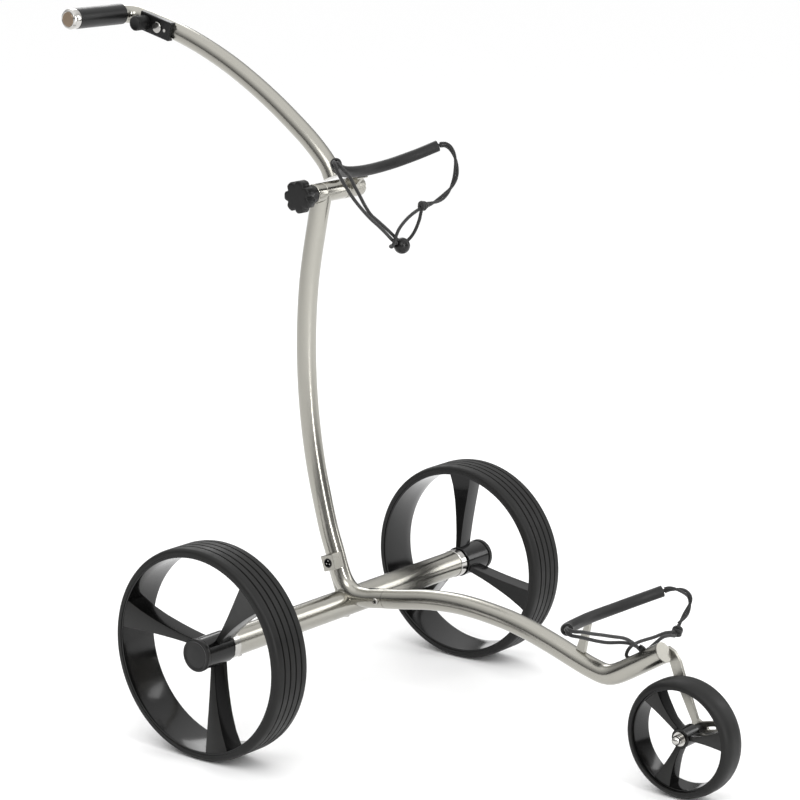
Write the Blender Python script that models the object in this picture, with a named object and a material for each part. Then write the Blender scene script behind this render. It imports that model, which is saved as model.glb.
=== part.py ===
"""Three-wheeled stainless golf trolley with tube motors in the axle.

Metres, +Z up. The floor is z = 0 and x = 0 is the mid plane between the rear wheels.
The front wheel points to -Y and the handle to +Y. The left side is -X.
Heights are above the floor, and distances back are from the rear axle.
"""
import bmesh
import bpy
from math import cos, pi, radians, sin, sqrt
from mathutils import Matrix, Vector

# ---- driving dimensions ----
GAP = 0.0003                 # between touching pieces
RUN_GAP = 0.0006             # between pieces that move past each other

WHEEL_RADIUS = 0.145
HALF_TRACK = 0.283
TYRE_WIDTH = 0.062
TYRE_DEPTH = 0.0101
RIM_WALL = 0.0030
HUB_RADIUS = 0.0215
HUB_LENGTH = 0.0480
SHAFT_RADIUS = 0.0060
CAP_RADIUS = 0.0225
CAP_LENGTH = 0.0070
CAP_PULL = 0.0040
WHEEL_SIDES = 48

FRONT_RADIUS = 0.079
FRONT_WIDTH = 0.040
FRONT_REACH = 0.578          # front axle ahead of the rear axle
FRONT_SIDE = -0.0217         # the front wheel runs beside its single arm
FRONT_TYRE_DEPTH = 0.0110
FRONT_HUB_RADIUS = 0.0130
FRONT_HUB_LENGTH = 0.0275
FRONT_BOLT_RADIUS = 0.0040
FRONT_SIDES = 36

AXLE_TUBE_RADIUS = 0.0190
AXLE_TUBE_HALF = 0.2427
AXLE_TUBE_WALL = 0.0015
COLLAR_LENGTH = 0.0115
COLLAR_STEP = 0.0009         # collar's rim above the axle tube
MOTOR_CLEARANCE = 0.0005
MOTOR_LENGTH = 0.1450
SCREW_PLACES = (-0.227, 0.0, 0.227)

STEM_RADIUS = 0.0137
STEM_WALL = 0.0015
LEG_STEP = 0.0003             # leg tube's radius beyond the stem's, whose end it seats on
LEG_RADIUS = STEM_RADIUS + LEG_STEP
LEG_WALL = 0.0016
SPIGOT_LENGTH = 0.0280
SPIGOT_CLEARANCE = 0.0010     # between the leg's spigot and the stem's bore
HANDLE_RADIUS = 0.0131
HANDLE_WALL = 0.0013

HINGE_BACK = 0.0387          # hinge axis behind the axle
HINGE_HEIGHT = 0.7208
HINGE_RADIUS = 0.0136
HINGE_NEAR = -0.0220         # x of the star knob's end of the barrel
HINGE_SEAM = -0.0035         # x where stem knuckle and handle knuckle meet
HINGE_FAR_SEAM = 0.0420
HINGE_END = 0.0770
CLAMP_BOLT_RADIUS = 0.0040
HANDLE_SIDE = 0.0290         # the handle tube swings beside the stem

KNOB_HUB_RADIUS = 0.0132
KNOB_LOBES = 7
KNOB_RADIUS = 0.0225
KNOB_DISC = 0.0160
KNOB_LENGTH = 0.0330

GRIP_RADIUS = 0.0147
GRIP_NEAR = -0.0877
GRIP_FAR = 0.0055
GRIP_END = -0.1026
BEND_RADIUS = 0.0225

HOUSING_FACE = 0.0100
HOUSING_WIDTH = 0.0270
SPEED_KNOB_RADIUS = 0.0105
SPEED_KNOB_LENGTH = 0.0225
BUTTON_RADIUS = 0.0078
BUTTON_TRAVEL = 0.0015

SUPPORT_RADIUS = 0.0078      # over the rubber sleeve
SUPPORT_ROD_RADIUS = 0.0040
CORD_RADIUS = 0.0020
DOUBLE_CORD_RADIUS = 0.0029
BALL_RADIUS = 0.0113
KNOT_RADIUS = 0.0072
SCREW_HEAD_RADIUS = 0.0045
SCREW_HEAD_HEIGHT = 0.0026

# ---- routes, as (x, back from the axle, height) ----
# Heights are for an axle at this height. With other wheels the frame rises with the axle,
# and the front tube takes up the difference between these two distances.
ROUTE_AXLE_HEIGHT = 0.145
RISE_FULL = -0.150
RISE_NONE = -0.390
STEM_ROUTE = [
    (0, 0.0387, 0.7208), (0, 0.0480, 0.681), (0, 0.0638, 0.596), (0, 0.0698, 0.510),
    (0, 0.0668, 0.425), (0, 0.0551, 0.341), (0, 0.0346, 0.257), (0, 0.0206, 0.216),
    (0, 0.0085, 0.183), (0, -0.0030, 0.1665), (0, -0.0190, 0.1585), (0, -0.0410, 0.1582),
    (0, -0.0570, 0.1607), (0, -0.0730, 0.1632),
]
LEG_ROUTE = [
    (0, -0.0733, 0.16325), (0, -0.100, 0.1676), (0, -0.149, 0.1758), (0, -0.200, 0.1795),
    (0, -0.251, 0.1767), (0, -0.301, 0.1693), (0, -0.351, 0.1556), (0, -0.400, 0.1393),
    (0, -0.4240, 0.1325), (0, -0.4420, 0.1298), (0, -0.4600, 0.1350), (0, -0.4943, 0.1552),
    (0, -0.5290, 0.1765),
]
HANDLE_ROUTE = [
    (0.0445, 0.7375), (0.0545, 0.7560), (0.0826, 0.7835), (0.1185, 0.8110), (0.1547, 0.8360),
    (0.1913, 0.8585), (0.2280, 0.8785), (0.2655, 0.8958), (0.3030, 0.9105), (0.3415, 0.9228),
    (0.3800, 0.9331),
]
GRIP_BACK = 0.4182
GRIP_HEIGHT = 0.9414
# half of each bag support, from its middle out to its end
UPPER_SUPPORT = [(0, 0.0056, 0.7482), (0.045, -0.0005, 0.7520), (0.083, -0.0165, 0.7620),
                 (0.1106, -0.0355, 0.7738)]
UPPER_SUPPORT_SIDE = 0.050
LOWER_SUPPORT = [(0, -0.4148, 0.2021), (0.045, -0.4205, 0.2040), (0.083, -0.4360, 0.2110),
                 (0.1095, -0.4550, 0.2198)]
SLEEVE_OVERHANG = 0.0080

# cord routes, world x, back from the axle and height
UPPER_NEAR_A = [
    (-0.0645, -0.0354, 0.7749), (-0.0735, -0.0430, 0.7780), (-0.0790, -0.0510, 0.7725),
    (-0.0770, -0.0555, 0.7610), (-0.0635, -0.0565, 0.7430), (-0.0490, -0.0560, 0.7275),
    (-0.0315, -0.0555, 0.7115), (-0.0115, -0.0540, 0.6960), (0.0105, -0.0520, 0.6815),
    (0.0300, -0.0485, 0.6690), (0.0450, -0.0463, 0.6585), (0.0560, -0.0460, 0.6517),
]
UPPER_NEAR_B = [
    (-0.0617, -0.0390, 0.7749), (-0.0665, -0.0435, 0.7760), (-0.0680, -0.0495, 0.7715),
    (-0.0610, -0.0525, 0.7640), (-0.0520, -0.0520, 0.7570), (-0.0395, -0.0505, 0.7420),
    (-0.0265, -0.0490, 0.7270), (-0.0155, -0.0480, 0.7135), (-0.0020, -0.0475, 0.6990),
    (0.0155, -0.0470, 0.6870), (0.0330, -0.0465, 0.6750), (0.0480, -0.0462, 0.6640),
    (0.0585, -0.0460, 0.6560),
]
BALL_CENTRE = (0.0675, -0.0460, 0.6470)
UPPER_LOOP = [
    (0.1045, -0.0460, 0.6925), (0.0905, -0.0460, 0.6880), (0.0750, -0.0468, 0.6815),
    (0.0580, -0.0495, 0.6730), (0.0475, -0.0518, 0.6640), (0.0445, -0.0505, 0.6550),
    (0.0480, -0.0445, 0.6480), (0.0550, -0.0360, 0.6465), (0.0660, -0.0310, 0.6460),
    (0.0785, -0.0310, 0.6455), (0.0900, -0.0345, 0.6480), (0.0970, -0.0390, 0.6550),
    (0.1010, -0.0435, 0.6650), (0.1065, -0.0457, 0.6780), (0.1095, -0.0460, 0.6875),
]
UPPER_KNOT = (0.1130, -0.0460, 0.6965)
UPPER_FAR = [
    (0.1215, -0.0460, 0.6968), (0.1330, -0.0460, 0.6972), (0.1450, -0.0460, 0.6988),
    (0.1600, -0.0465, 0.7040), (0.1745, -0.0475, 0.7135), (0.1840, -0.0480, 0.7265),
    (0.1868, -0.0480, 0.7410), (0.1850, -0.0470, 0.7560), (0.1795, -0.0445, 0.7680),
    (0.1715, -0.0415, 0.7745), (0.1634, -0.0375, 0.7752),
]
LOWER_NEAR_A = [
    (-0.1118, -0.4567, 0.2232), (-0.1190, -0.4620, 0.2255), (-0.1245, -0.4690, 0.2262),
    (-0.1235, -0.4765, 0.2250), (-0.1150, -0.4808, 0.2235), (-0.0935, -0.4815, 0.2160),
    (-0.0685, -0.4815, 0.2080), (-0.0460, -0.4820, 0.2005), (-0.0205, -0.4828, 0.1920),
    (-0.0020, -0.4825, 0.1820), (0.0125, -0.4812, 0.1718), (0.0260, -0.4788, 0.1616),
    (0.0360, -0.4765, 0.1556),
]
LOWER_NEAR_B = [
    (-0.1122, -0.4569, 0.2180), (-0.1180, -0.4615, 0.2185), (-0.1195, -0.4680, 0.2175),
    (-0.1140, -0.4728, 0.2155), (-0.1050, -0.4740, 0.2125), (-0.0900, -0.4745, 0.2065),
    (-0.0680, -0.4750, 0.1982), (-0.0475, -0.4760, 0.1915), (-0.0195, -0.4765, 0.1848),
    (-0.0010, -0.4768, 0.1792), (0.0110, -0.4762, 0.1738), (0.0210, -0.4750, 0.1685),
]
LOWER_LOOP = [
    (0.1070, -0.4725, 0.1668), (0.0920, -0.4710, 0.1688), (0.0710, -0.4690, 0.1682),
    (0.0510, -0.4675, 0.1690), (0.0360, -0.4665, 0.1692), (0.0210, -0.4660, 0.1675),
    (0.0115, -0.4660, 0.1620), (0.0110, -0.4660, 0.1562), (0.0200, -0.4665, 0.1520),
    (0.0410, -0.4680, 0.1528), (0.0565, -0.4710, 0.1568), (0.0680, -0.4745, 0.1630),
    (0.0790, -0.4770, 0.1675), (0.0940, -0.4775, 0.1662), (0.1080, -0.4765, 0.1620),
]
LOWER_KNOT = (0.1190, -0.4735, 0.1650)
LOWER_FAR = [
    (0.1230, -0.4735, 0.1740), (0.1345, -0.4730, 0.1800), (0.1445, -0.4730, 0.1880),
    (0.1500, -0.4730, 0.1970), (0.1485, -0.4728, 0.2065), (0.1390, -0.4710, 0.2150),
    (0.1270, -0.4670, 0.2200), (0.1180, -0.4610, 0.2220), (0.1123, -0.4570, 0.2208),
]

# ---- derived places ----
AXLE_Y = (FRONT_REACH + FRONT_RADIUS - GRIP_BACK - GRIP_RADIUS) / 2    # centres the trolley
AXLE_RISE = WHEEL_RADIUS - ROUTE_AXLE_HEIGHT
SPIGOT_RADIUS = STEM_RADIUS - STEM_WALL - SPIGOT_CLEARANCE
LEG_AXIS = (Vector(STEM_ROUTE[-1]) - Vector(STEM_ROUTE[-2])).normalized()
AXLE = Vector((0, AXLE_Y, WHEEL_RADIUS))
HINGE = Vector((0, AXLE_Y + HINGE_BACK, HINGE_HEIGHT + AXLE_RISE))
FRONT_AXLE = Vector((FRONT_SIDE, AXLE_Y - FRONT_REACH, FRONT_RADIUS))
COLLAR_RADIUS = AXLE_TUBE_RADIUS + COLLAR_STEP
COLLAR_INNER = AXLE_TUBE_HALF + GAP
COLLAR_OUTER = COLLAR_INNER + COLLAR_LENGTH
HUB_INNER = COLLAR_OUTER + 0.003
HUB_OUTER = HUB_INNER + HUB_LENGTH
WHEEL_OUTER = HALF_TRACK + TYRE_WIDTH / 2
RIM_OUTER_RADIUS = WHEEL_RADIUS - TYRE_DEPTH
RIM_INNER_RADIUS = RIM_OUTER_RADIUS - RIM_WALL
ARM_NEAR = LEG_RADIUS + GAP
ARM_THICKNESS = 0.0050

FINISHES = {
    "brushed_steel": ((0.56, 0.54, 0.49), 0.32, 1.0),
    "bright_steel": ((0.72, 0.72, 0.70), 0.15, 1.0),
    "rubber": ((0.018, 0.018, 0.018), 0.75, 0.0),
    "gloss_black": ((0.010, 0.010, 0.010), 0.12, 0.0),
    "satin_black": ((0.022, 0.022, 0.022), 0.45, 0.0),
    "cord": ((0.012, 0.012, 0.012), 0.85, 0.0),
    "motor": ((0.25, 0.26, 0.27), 0.40, 1.0),
    "brass": ((0.60, 0.42, 0.20), 0.30, 1.0),
}
PIVOTS = {}
FINISH_CACHE = {}


def at(x, back, height):
    """A world point from x, the distance behind the axle and the height on a route."""
    share = min(1, max(0, (back - RISE_NONE) / (RISE_FULL - RISE_NONE)))
    return Vector((x, AXLE_Y + back, height + AXLE_RISE * share))


def finish(kind, node):
    """Each node has its own material, so a colour can be changed piece by piece."""
    colour, roughness, metallic = FINISHES[kind]
    material = bpy.data.materials.new(node + "_" + kind)
    material.use_nodes = True
    shader = material.node_tree.nodes["Principled BSDF"]
    shader.inputs["Base Color"].default_value = (*colour, 1)
    shader.inputs["Roughness"].default_value = roughness
    shader.inputs["Metallic"].default_value = metallic
    return material


def pivot(body, place, parent=None):
    """An empty on a body's joint axis, which the body's pieces hang from."""
    empty = bpy.data.objects.new(body + "_pivot", None)
    bpy.context.collection.objects.link(empty)
    empty.location = place
    if parent:
        empty.parent = PIVOTS[parent][0]
        empty.location = place - PIVOTS[parent][1]
    PIVOTS[body] = (empty, Vector(place))


def hang(name, data, body, origin=None):
    """Make an object of world-placed data, with its origin where the piece turns or sits."""
    empty, place = PIVOTS[body]
    origin = place if origin is None else Vector(origin)
    data.transform(Matrix.Translation(-origin))
    piece = bpy.data.objects.new(name, data)
    bpy.context.collection.objects.link(piece)
    piece.parent = empty
    piece.location = origin - place
    return piece


def piece(name, data, kind, body, origin=None):
    """A node of the trolley with its finish."""
    node = hang(name, data, body, origin)
    data.materials.append(finish(kind, name))
    if isinstance(data, bpy.types.Mesh):
        data.shade_smooth()
        data.set_sharp_from_angle(angle=radians(35))
    return node


def tool(name, data, body, origin=None):
    """A cutter or a shape to be joined, which is not a node itself."""
    helper = hang(name + "_tool", data, body, origin)
    helper.hide_render = True
    helper.display_type = "WIRE"
    return helper


def combine(target, operation, *tools):
    for helper in tools:
        step = target.modifiers.new(helper.name, "BOOLEAN")
        step.operation = operation
        step.object = helper


def to_mesh(bm, name):
    bmesh.ops.remove_doubles(bm, verts=bm.verts, dist=0.000001)
    bmesh.ops.recalc_face_normals(bm, faces=bm.faces)
    mesh = bpy.data.meshes.new(name)
    bm.to_mesh(mesh)
    bm.free()
    return mesh


def turned(name, outline, centre, sides=24, axis="X", closed=True, flat_down=False):
    """Spin an outline of (along, radius) points a full turn about an axis.

    An outline that starts or ends on the axis is left open there. With flat_down the round
    stands on one of its flats, which lie at the outline's radius.
    """
    bm = bmesh.new()
    points = [bm.verts.new((along, 0, radius)) for along, radius in outline]
    pairs = list(zip(points, points[1:])) + ([(points[-1], points[0])] if closed else [])
    edges = [bm.edges.new(pair) for pair in pairs if pair[0].co.z > 0 or pair[1].co.z > 0]
    bmesh.ops.spin(bm, geom=points + edges, cent=(0, 0, 0), axis=(1, 0, 0),
                   angle=2 * pi, steps=sides, use_merge=True)
    if flat_down:
        bmesh.ops.rotate(bm, verts=bm.verts, matrix=Matrix.Rotation(pi / sides, 3, "X"))
        bmesh.ops.scale(bm, verts=bm.verts, vec=(1, 1 / cos(pi / sides), 1 / cos(pi / sides)))
    if axis == "Z":
        bmesh.ops.rotate(bm, verts=bm.verts, matrix=Matrix.Rotation(-pi / 2, 3, "Y"))
    bmesh.ops.translate(bm, verts=bm.verts, vec=centre)
    return to_mesh(bm, name)


def rod(name, x0, x1, radius, centre, sides=20, bore=0.0, chamfer=0.0):
    """A round bar along X between two distances, with an optional bore and chamfered rims."""
    low, high = min(x0, x1), max(x0, x1)
    outline = [(low, bore), (low, radius - chamfer), (low + chamfer, radius),
               (high - chamfer, radius), (high, radius - chamfer), (high, bore)]
    if not chamfer:
        outline = [(low, bore), (low, radius), (high, radius), (high, bore)]
    return turned(name, outline, (0, centre[1], centre[2]), sides, closed=bore > 0)


def plate(name, outline, x0, x1):
    """Extrude an outline of (back, height) points between two x values."""
    bm = bmesh.new()
    face = bm.faces.new([bm.verts.new((x0, AXLE_Y + back, height)) for back, height in outline])
    wall = bmesh.ops.extrude_face_region(bm, geom=[face])
    moved = [item for item in wall["geom"] if isinstance(item, bmesh.types.BMVert)]
    bmesh.ops.translate(bm, verts=moved, vec=(x1 - x0, 0, 0))
    return to_mesh(bm, name)


def block(name, size, centre, tilt=0.0, bevel=0.0):
    """A box turned by tilt about X, with bevelled edges."""
    bm = bmesh.new()
    bmesh.ops.create_cube(bm, size=1)
    bmesh.ops.scale(bm, vec=size, verts=bm.verts)
    if bevel:
        bmesh.ops.bevel(bm, geom=list(bm.edges), offset=bevel, segments=2, profile=0.5,
                        affect="EDGES", material=-1)
    bmesh.ops.rotate(bm, verts=bm.verts, matrix=Matrix.Rotation(tilt, 3, "X"))
    bmesh.ops.translate(bm, verts=bm.verts, vec=centre)
    return to_mesh(bm, name)


def smooth(points, step):
    """Points at even steps along a smooth curve through a route's own points."""
    route = [Vector(p) for p in points]
    route = [2 * route[0] - route[1]] + route + [2 * route[-1] - route[-2]]
    fine = []
    for a, b, c, d in zip(route, route[1:], route[2:], route[3:]):
        for i in range(16):
            t = i / 16
            fine.append(0.5 * (2 * b + (c - a) * t + (2 * a - 5 * b + 4 * c - d) * t * t
                               + (3 * b - a - 3 * c + d) * t ** 3))
    fine.append(route[-2])
    length = sum((q - p).length for p, q in zip(fine, fine[1:]))
    count = max(2, round(length / step))
    picked, travelled, wanted = [fine[0]], 0.0, 1
    for p, q in zip(fine, fine[1:]):
        span = (q - p).length
        while wanted < count and travelled + span >= wanted * length / count:
            picked.append(p.lerp(q, (wanted * length / count - travelled) / span))
            wanted += 1
        travelled += span
    return picked + [fine[-1]]


def thinned(points, turn=radians(4.5), reach=0.12):
    """Drop points where the tube hardly turns."""
    kept = [points[0]]
    for here, after in zip(points[1:], points[2:]):
        bend = (here - kept[-1]).angle(after - here)
        if bend > turn or (here - kept[-1]).length > reach:
            kept.append(here)
    return kept + [points[-1]]


def round_curve(name, points, radius, resolution):
    """A filled tube along points."""
    curve = bpy.data.curves.new(name, "CURVE")
    curve.dimensions = "3D"
    curve.bevel_depth = radius
    curve.bevel_resolution = resolution
    curve.use_fill_caps = True
    curve.render_resolution_u = 0
    line = curve.splines.new("POLY")
    line.points.add(len(points) - 1)
    for point, place in zip(line.points, points):
        point.co = (*place, 1)
    return curve


def tube_mesh(name, points, radius, sides):
    """A closed round bar along points, as a mesh that Booleans can use."""
    curve = round_curve(name, points, radius, (sides - 4) // 2)
    helper = bpy.data.objects.new(name + "_curve", curve)
    bpy.context.collection.objects.link(helper)
    bpy.context.view_layer.update()
    shaped = bpy.data.meshes.new_from_object(
        helper.evaluated_get(bpy.context.evaluated_depsgraph_get()))
    bpy.data.objects.remove(helper)
    bm = bmesh.new()
    bm.from_mesh(shaped)
    return to_mesh(bm, name)


def stretched(points, extra):
    """The same route, run on past both ends, so that a bore cuts right through."""
    first = points[0] + (points[0] - points[1]).normalized() * extra
    last = points[-1] + (points[-1] - points[-2]).normalized() * extra
    return [first] + list(points) + [last]


def hollow(node, points, inner_radius, sides, body):
    """Bore a tube along its own route."""
    bore = tool(node.name + "_bore", tube_mesh("bore", stretched(points, 0.004), inner_radius,
                                               sides), body)
    combine(node, "DIFFERENCE", bore)


def ball(name, radius, centre, squash=(1, 1, 1), detail=2):
    bm = bmesh.new()
    bmesh.ops.create_icosphere(bm, subdivisions=detail, radius=radius)
    bmesh.ops.scale(bm, vec=squash, verts=bm.verts)
    bmesh.ops.translate(bm, verts=bm.verts, vec=centre)
    return to_mesh(bm, name)


# ---- rear wheels ----

def spoke(name, angle, side, inner, outer, stations):
    """One spoke, a run of cross-sections from hub to rim.

    Each station is (share of the way out, width, front x, back x).
    """
    bm = bmesh.new()
    out = Vector((0, -cos(angle), sin(angle)))
    across = Vector((0, sin(angle), cos(angle)))
    rings = []
    for share, width, front, back in stations:
        middle = out * (inner + (outer - inner) * share)
        corners = [middle + across * (width / 2 * u) + Vector((side * x, 0, 0))
                   for u, x in ((-1, back), (1, back), (1, front), (-1, front))]
        verts = [bm.verts.new(c) for c in corners]
        rings.append([bm.edges.new((verts[i], verts[(i + 1) % 4])) for i in range(4)])
    for ring, following in zip(rings, rings[1:]):
        bmesh.ops.bridge_loops(bm, edges=ring + following)
    for ring in (rings[0], rings[-1]):
        bmesh.ops.contextual_create(bm, geom=ring)
    return to_mesh(bm, name)


def rear_wheel(label, side, first_angle):
    body = label + "_wheel"
    centre = Vector((0, AXLE.y, AXLE.z))
    pivot(body, Vector((side * HALF_TRACK, AXLE.y, AXLE.z)), "frame")
    low, high = WHEEL_OUTER - TYRE_WIDTH + 0.0012, WHEEL_OUTER - 0.0008
    rim = piece("rim_" + label, rod("rim", side * low, side * high, RIM_OUTER_RADIUS, centre,
                                    WHEEL_SIDES, RIM_INNER_RADIUS), "gloss_black", body)
    hub = [(HUB_INNER, SHAFT_RADIUS + GAP), (HUB_INNER, HUB_RADIUS), (HUB_OUTER, HUB_RADIUS),
           (HUB_OUTER, 0.0083), (HUB_OUTER - 0.008, 0.0083),
           (HUB_OUTER - 0.008, SHAFT_RADIUS + GAP)]
    hub_shape = turned("hub", [(side * x, r) for x, r in hub], centre, 28)
    tools = [tool("hub_" + label, hub_shape, body)]
    front, middle = WHEEL_OUTER - 0.0012, HUB_INNER + 0.0275
    stations = [(0.0, 0.0085, middle, middle - 0.024), (0.30, 0.0125, middle + 0.0105,
                middle - 0.0150), (0.62, 0.0215, middle + 0.0205, middle - 0.0070),
                (0.85, 0.0320, front - 0.0016, front - 0.0290),
                (1.0, 0.0410, front, front - 0.0300)]
    for k in range(3):
        shape = spoke("spoke", radians(first_angle + 120 * k), side, HUB_RADIUS - 0.002,
                      RIM_INNER_RADIUS + 0.0009, stations)
        bmesh_shift(shape, centre)
        tools.append(tool("spoke_%s_%d" % (label, k), shape, body))
    combine(rim, "UNION", *tools)
    tread = [(TYRE_WIDTH / 2, -0.0095), (TYRE_WIDTH / 2, -0.0040), (TYRE_WIDTH / 2 - 0.0035, -0.0008),
             (TYRE_WIDTH / 2 - 0.0120, 0.0)]
    outline = [(x, WHEEL_RADIUS + drop) for x, drop in tread]
    outline += [(-x, r) for x, r in reversed(outline)]
    outline[0] = (TYRE_WIDTH / 2, RIM_OUTER_RADIUS + GAP)
    outline[-1] = (-TYRE_WIDTH / 2, RIM_OUTER_RADIUS + GAP)
    tyre = turned("tyre", outline, (side * HALF_TRACK, AXLE.y, AXLE.z), WHEEL_SIDES,
                  flat_down=True)
    piece("tyre_" + label, tyre, "rubber", body)
    piece("drive_shaft_" + label,
          rod("shaft", side * (AXLE_TUBE_HALF - 0.0070), side * (HUB_OUTER - 0.0100), SHAFT_RADIUS,
              centre, 16, chamfer=0.0006), "bright_steel", body)
    cap_body = label + "_cap"
    pivot(cap_body, Vector((side * HUB_OUTER, AXLE.y, AXLE.z)), body)
    start, end = HUB_OUTER + RUN_GAP, HUB_OUTER + RUN_GAP + CAP_LENGTH
    cap = [(HUB_OUTER - 0.0065, 0), (HUB_OUTER - 0.0065, 0.0077), (start, 0.0077),
           (start, CAP_RADIUS - 0.0008), (start + 0.0008, CAP_RADIUS), (end - 0.0012, CAP_RADIUS),
           (end, CAP_RADIUS - 0.0012), (end, CAP_RADIUS - 0.0035), (end - 0.0006, CAP_RADIUS - 0.0045),
           (end - 0.0006, 0)]
    piece("hub_cap_" + label, turned("cap", [(side * x, r) for x, r in cap], centre, 28,
                                     closed=False), "satin_black", cap_body)


def bmesh_shift(mesh, move):
    mesh.transform(Matrix.Translation(move))


# ---- front wheel and its arm ----

def front_wheel():
    pivot("front_wheel", FRONT_AXLE, "front_leg")
    centre = FRONT_AXLE
    half = FRONT_WIDTH / 2
    rim_outer = FRONT_RADIUS - FRONT_TYRE_DEPTH
    rim_inner = rim_outer - 0.0028
    x0 = FRONT_SIDE - half
    rim = piece("front_rim", rod("rim", x0 + 0.0035, x0 + FRONT_WIDTH - 0.0035, rim_outer, centre,
                                 FRONT_SIDES, rim_inner), "gloss_black", "front_wheel")
    near = x0 + 0.0105
    far = near + FRONT_HUB_LENGTH
    seat, hole = 0.0098, 0.0060
    hub = [(near, seat), (near, FRONT_HUB_RADIUS), (far, FRONT_HUB_RADIUS), (far, seat),
           (far - 0.0062, seat), (far - 0.0062, hole), (near + 0.0062, hole),
           (near + 0.0062, seat)]
    tools = [tool("front_hub", turned("hub", hub, (0, centre.y, centre.z), 24), "front_wheel")]
    stations = [(0.0, 0.0075, -near - 0.0035, -near - 0.0200),
                (0.45, 0.0110, -x0 - 0.0085, -x0 - 0.0260),
                (0.80, 0.0190, -x0 - 0.0055, -x0 - 0.0260),
                (1.0, 0.0260, -x0 - 0.0045, -x0 - 0.0260)]
    for k in range(3):
        shape = spoke("spoke", radians(10 + 120 * k), -1, FRONT_HUB_RADIUS - 0.0015,
                      rim_inner + 0.0012, stations)
        bmesh_shift(shape, Vector((0, centre.y, centre.z)))
        tools.append(tool("front_spoke_%d" % k, shape, "front_wheel"))
    combine(rim, "UNION", *tools)
    shoulder = [(half, rim_outer + GAP), (half, FRONT_RADIUS - 0.0075), (half - 0.0030,
                FRONT_RADIUS - 0.0030), (half - 0.0085, FRONT_RADIUS - 0.0006),
                (half - 0.0150, FRONT_RADIUS)]
    outline = shoulder + [(-x, r) for x, r in reversed(shoulder)]
    piece("front_tyre", turned("tyre", outline, centre, FRONT_SIDES, flat_down=True), "rubber",
          "front_wheel")
    for label, x in (("near", near), ("far", far - 0.0060)):
        piece("front_bearing_" + label,
              rod("bearing", x, x + 0.0060, seat - GAP, centre, 20, FRONT_BOLT_RADIUS + GAP),
              "bright_steel", "front_wheel")
    bolt_far = ARM_NEAR + ARM_THICKNESS + GAP
    bolt = [(near - 0.0100, 0), (near - 0.0100, FRONT_BOLT_RADIUS), (bolt_far, FRONT_BOLT_RADIUS),
            (bolt_far, 0.0068), (bolt_far + 0.0050, 0.0068), (bolt_far + 0.0050, 0)]
    piece("front_axle_bolt", turned("bolt", bolt, (0, centre.y, centre.z), 16, closed=False),
          "bright_steel", "front_leg", Vector((0, centre.y, centre.z)))
    nut_far = near - RUN_GAP
    grip = FRONT_BOLT_RADIUS + GAP
    nut = [(nut_far, grip), (nut_far, 0.0092), (nut_far - 0.0014, 0.0092),
           (nut_far - 0.0014, 0.0064), (nut_far - 0.0072, 0.0064), (nut_far - 0.0105, 0.0052),
           (nut_far - 0.0128, 0.0028), (nut_far - 0.0134, 0), (nut_far - 0.0110, 0),
           (nut_far - 0.0110, grip)]
    piece("front_axle_nut", turned("nut", nut, (0, centre.y, centre.z), 18),
          "bright_steel", "front_leg", Vector((0, centre.y, centre.z)))
    piece("front_spacer", rod("spacer", far + RUN_GAP, ARM_NEAR - GAP, 0.0085, centre, 20, grip),
          "satin_black", "front_leg", centre)


def fork_arm():
    """A flat steel arm beside the tube's end, cut from plate, with a slotted foot."""
    outline = [(-0.4985, 0.1490), (-0.4935, 0.1610), (-0.5270, 0.1812), (-0.5375, 0.1765),
               (-0.5465, 0.1642), (-0.5525, 0.1477), (-0.5750, 0.0925), (-0.5800, 0.0900),
               (-0.6036, 0.0958), (-0.6080, 0.0930), (-0.6090, 0.0870), (-0.6054, 0.0822),
               (-0.5860, 0.0720), (-0.5770, 0.0700), (-0.5690, 0.0725), (-0.5655, 0.0800),
               (-0.5660, 0.0880), (-0.5368, 0.1432), (-0.5305, 0.1600)]
    arm = piece("fork_arm", plate("arm", outline, ARM_NEAR, ARM_NEAR + ARM_THICKNESS),
                "brushed_steel", "front_leg")
    hole = rod("hole", ARM_NEAR - 0.01, ARM_NEAR + ARM_THICKNESS + 0.01, FRONT_BOLT_RADIUS + GAP,
               FRONT_AXLE, 16)
    slot = block("slot", (0.03, 0.0130, 0.0045), at(0.017, -FRONT_REACH - 0.0185, 0.0845),
                 radians(-14))
    combine(arm, "DIFFERENCE", tool("arm_hole", hole, "front_leg"),
            tool("arm_slot", slot, "front_leg"))


# ---- frame ----

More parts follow.
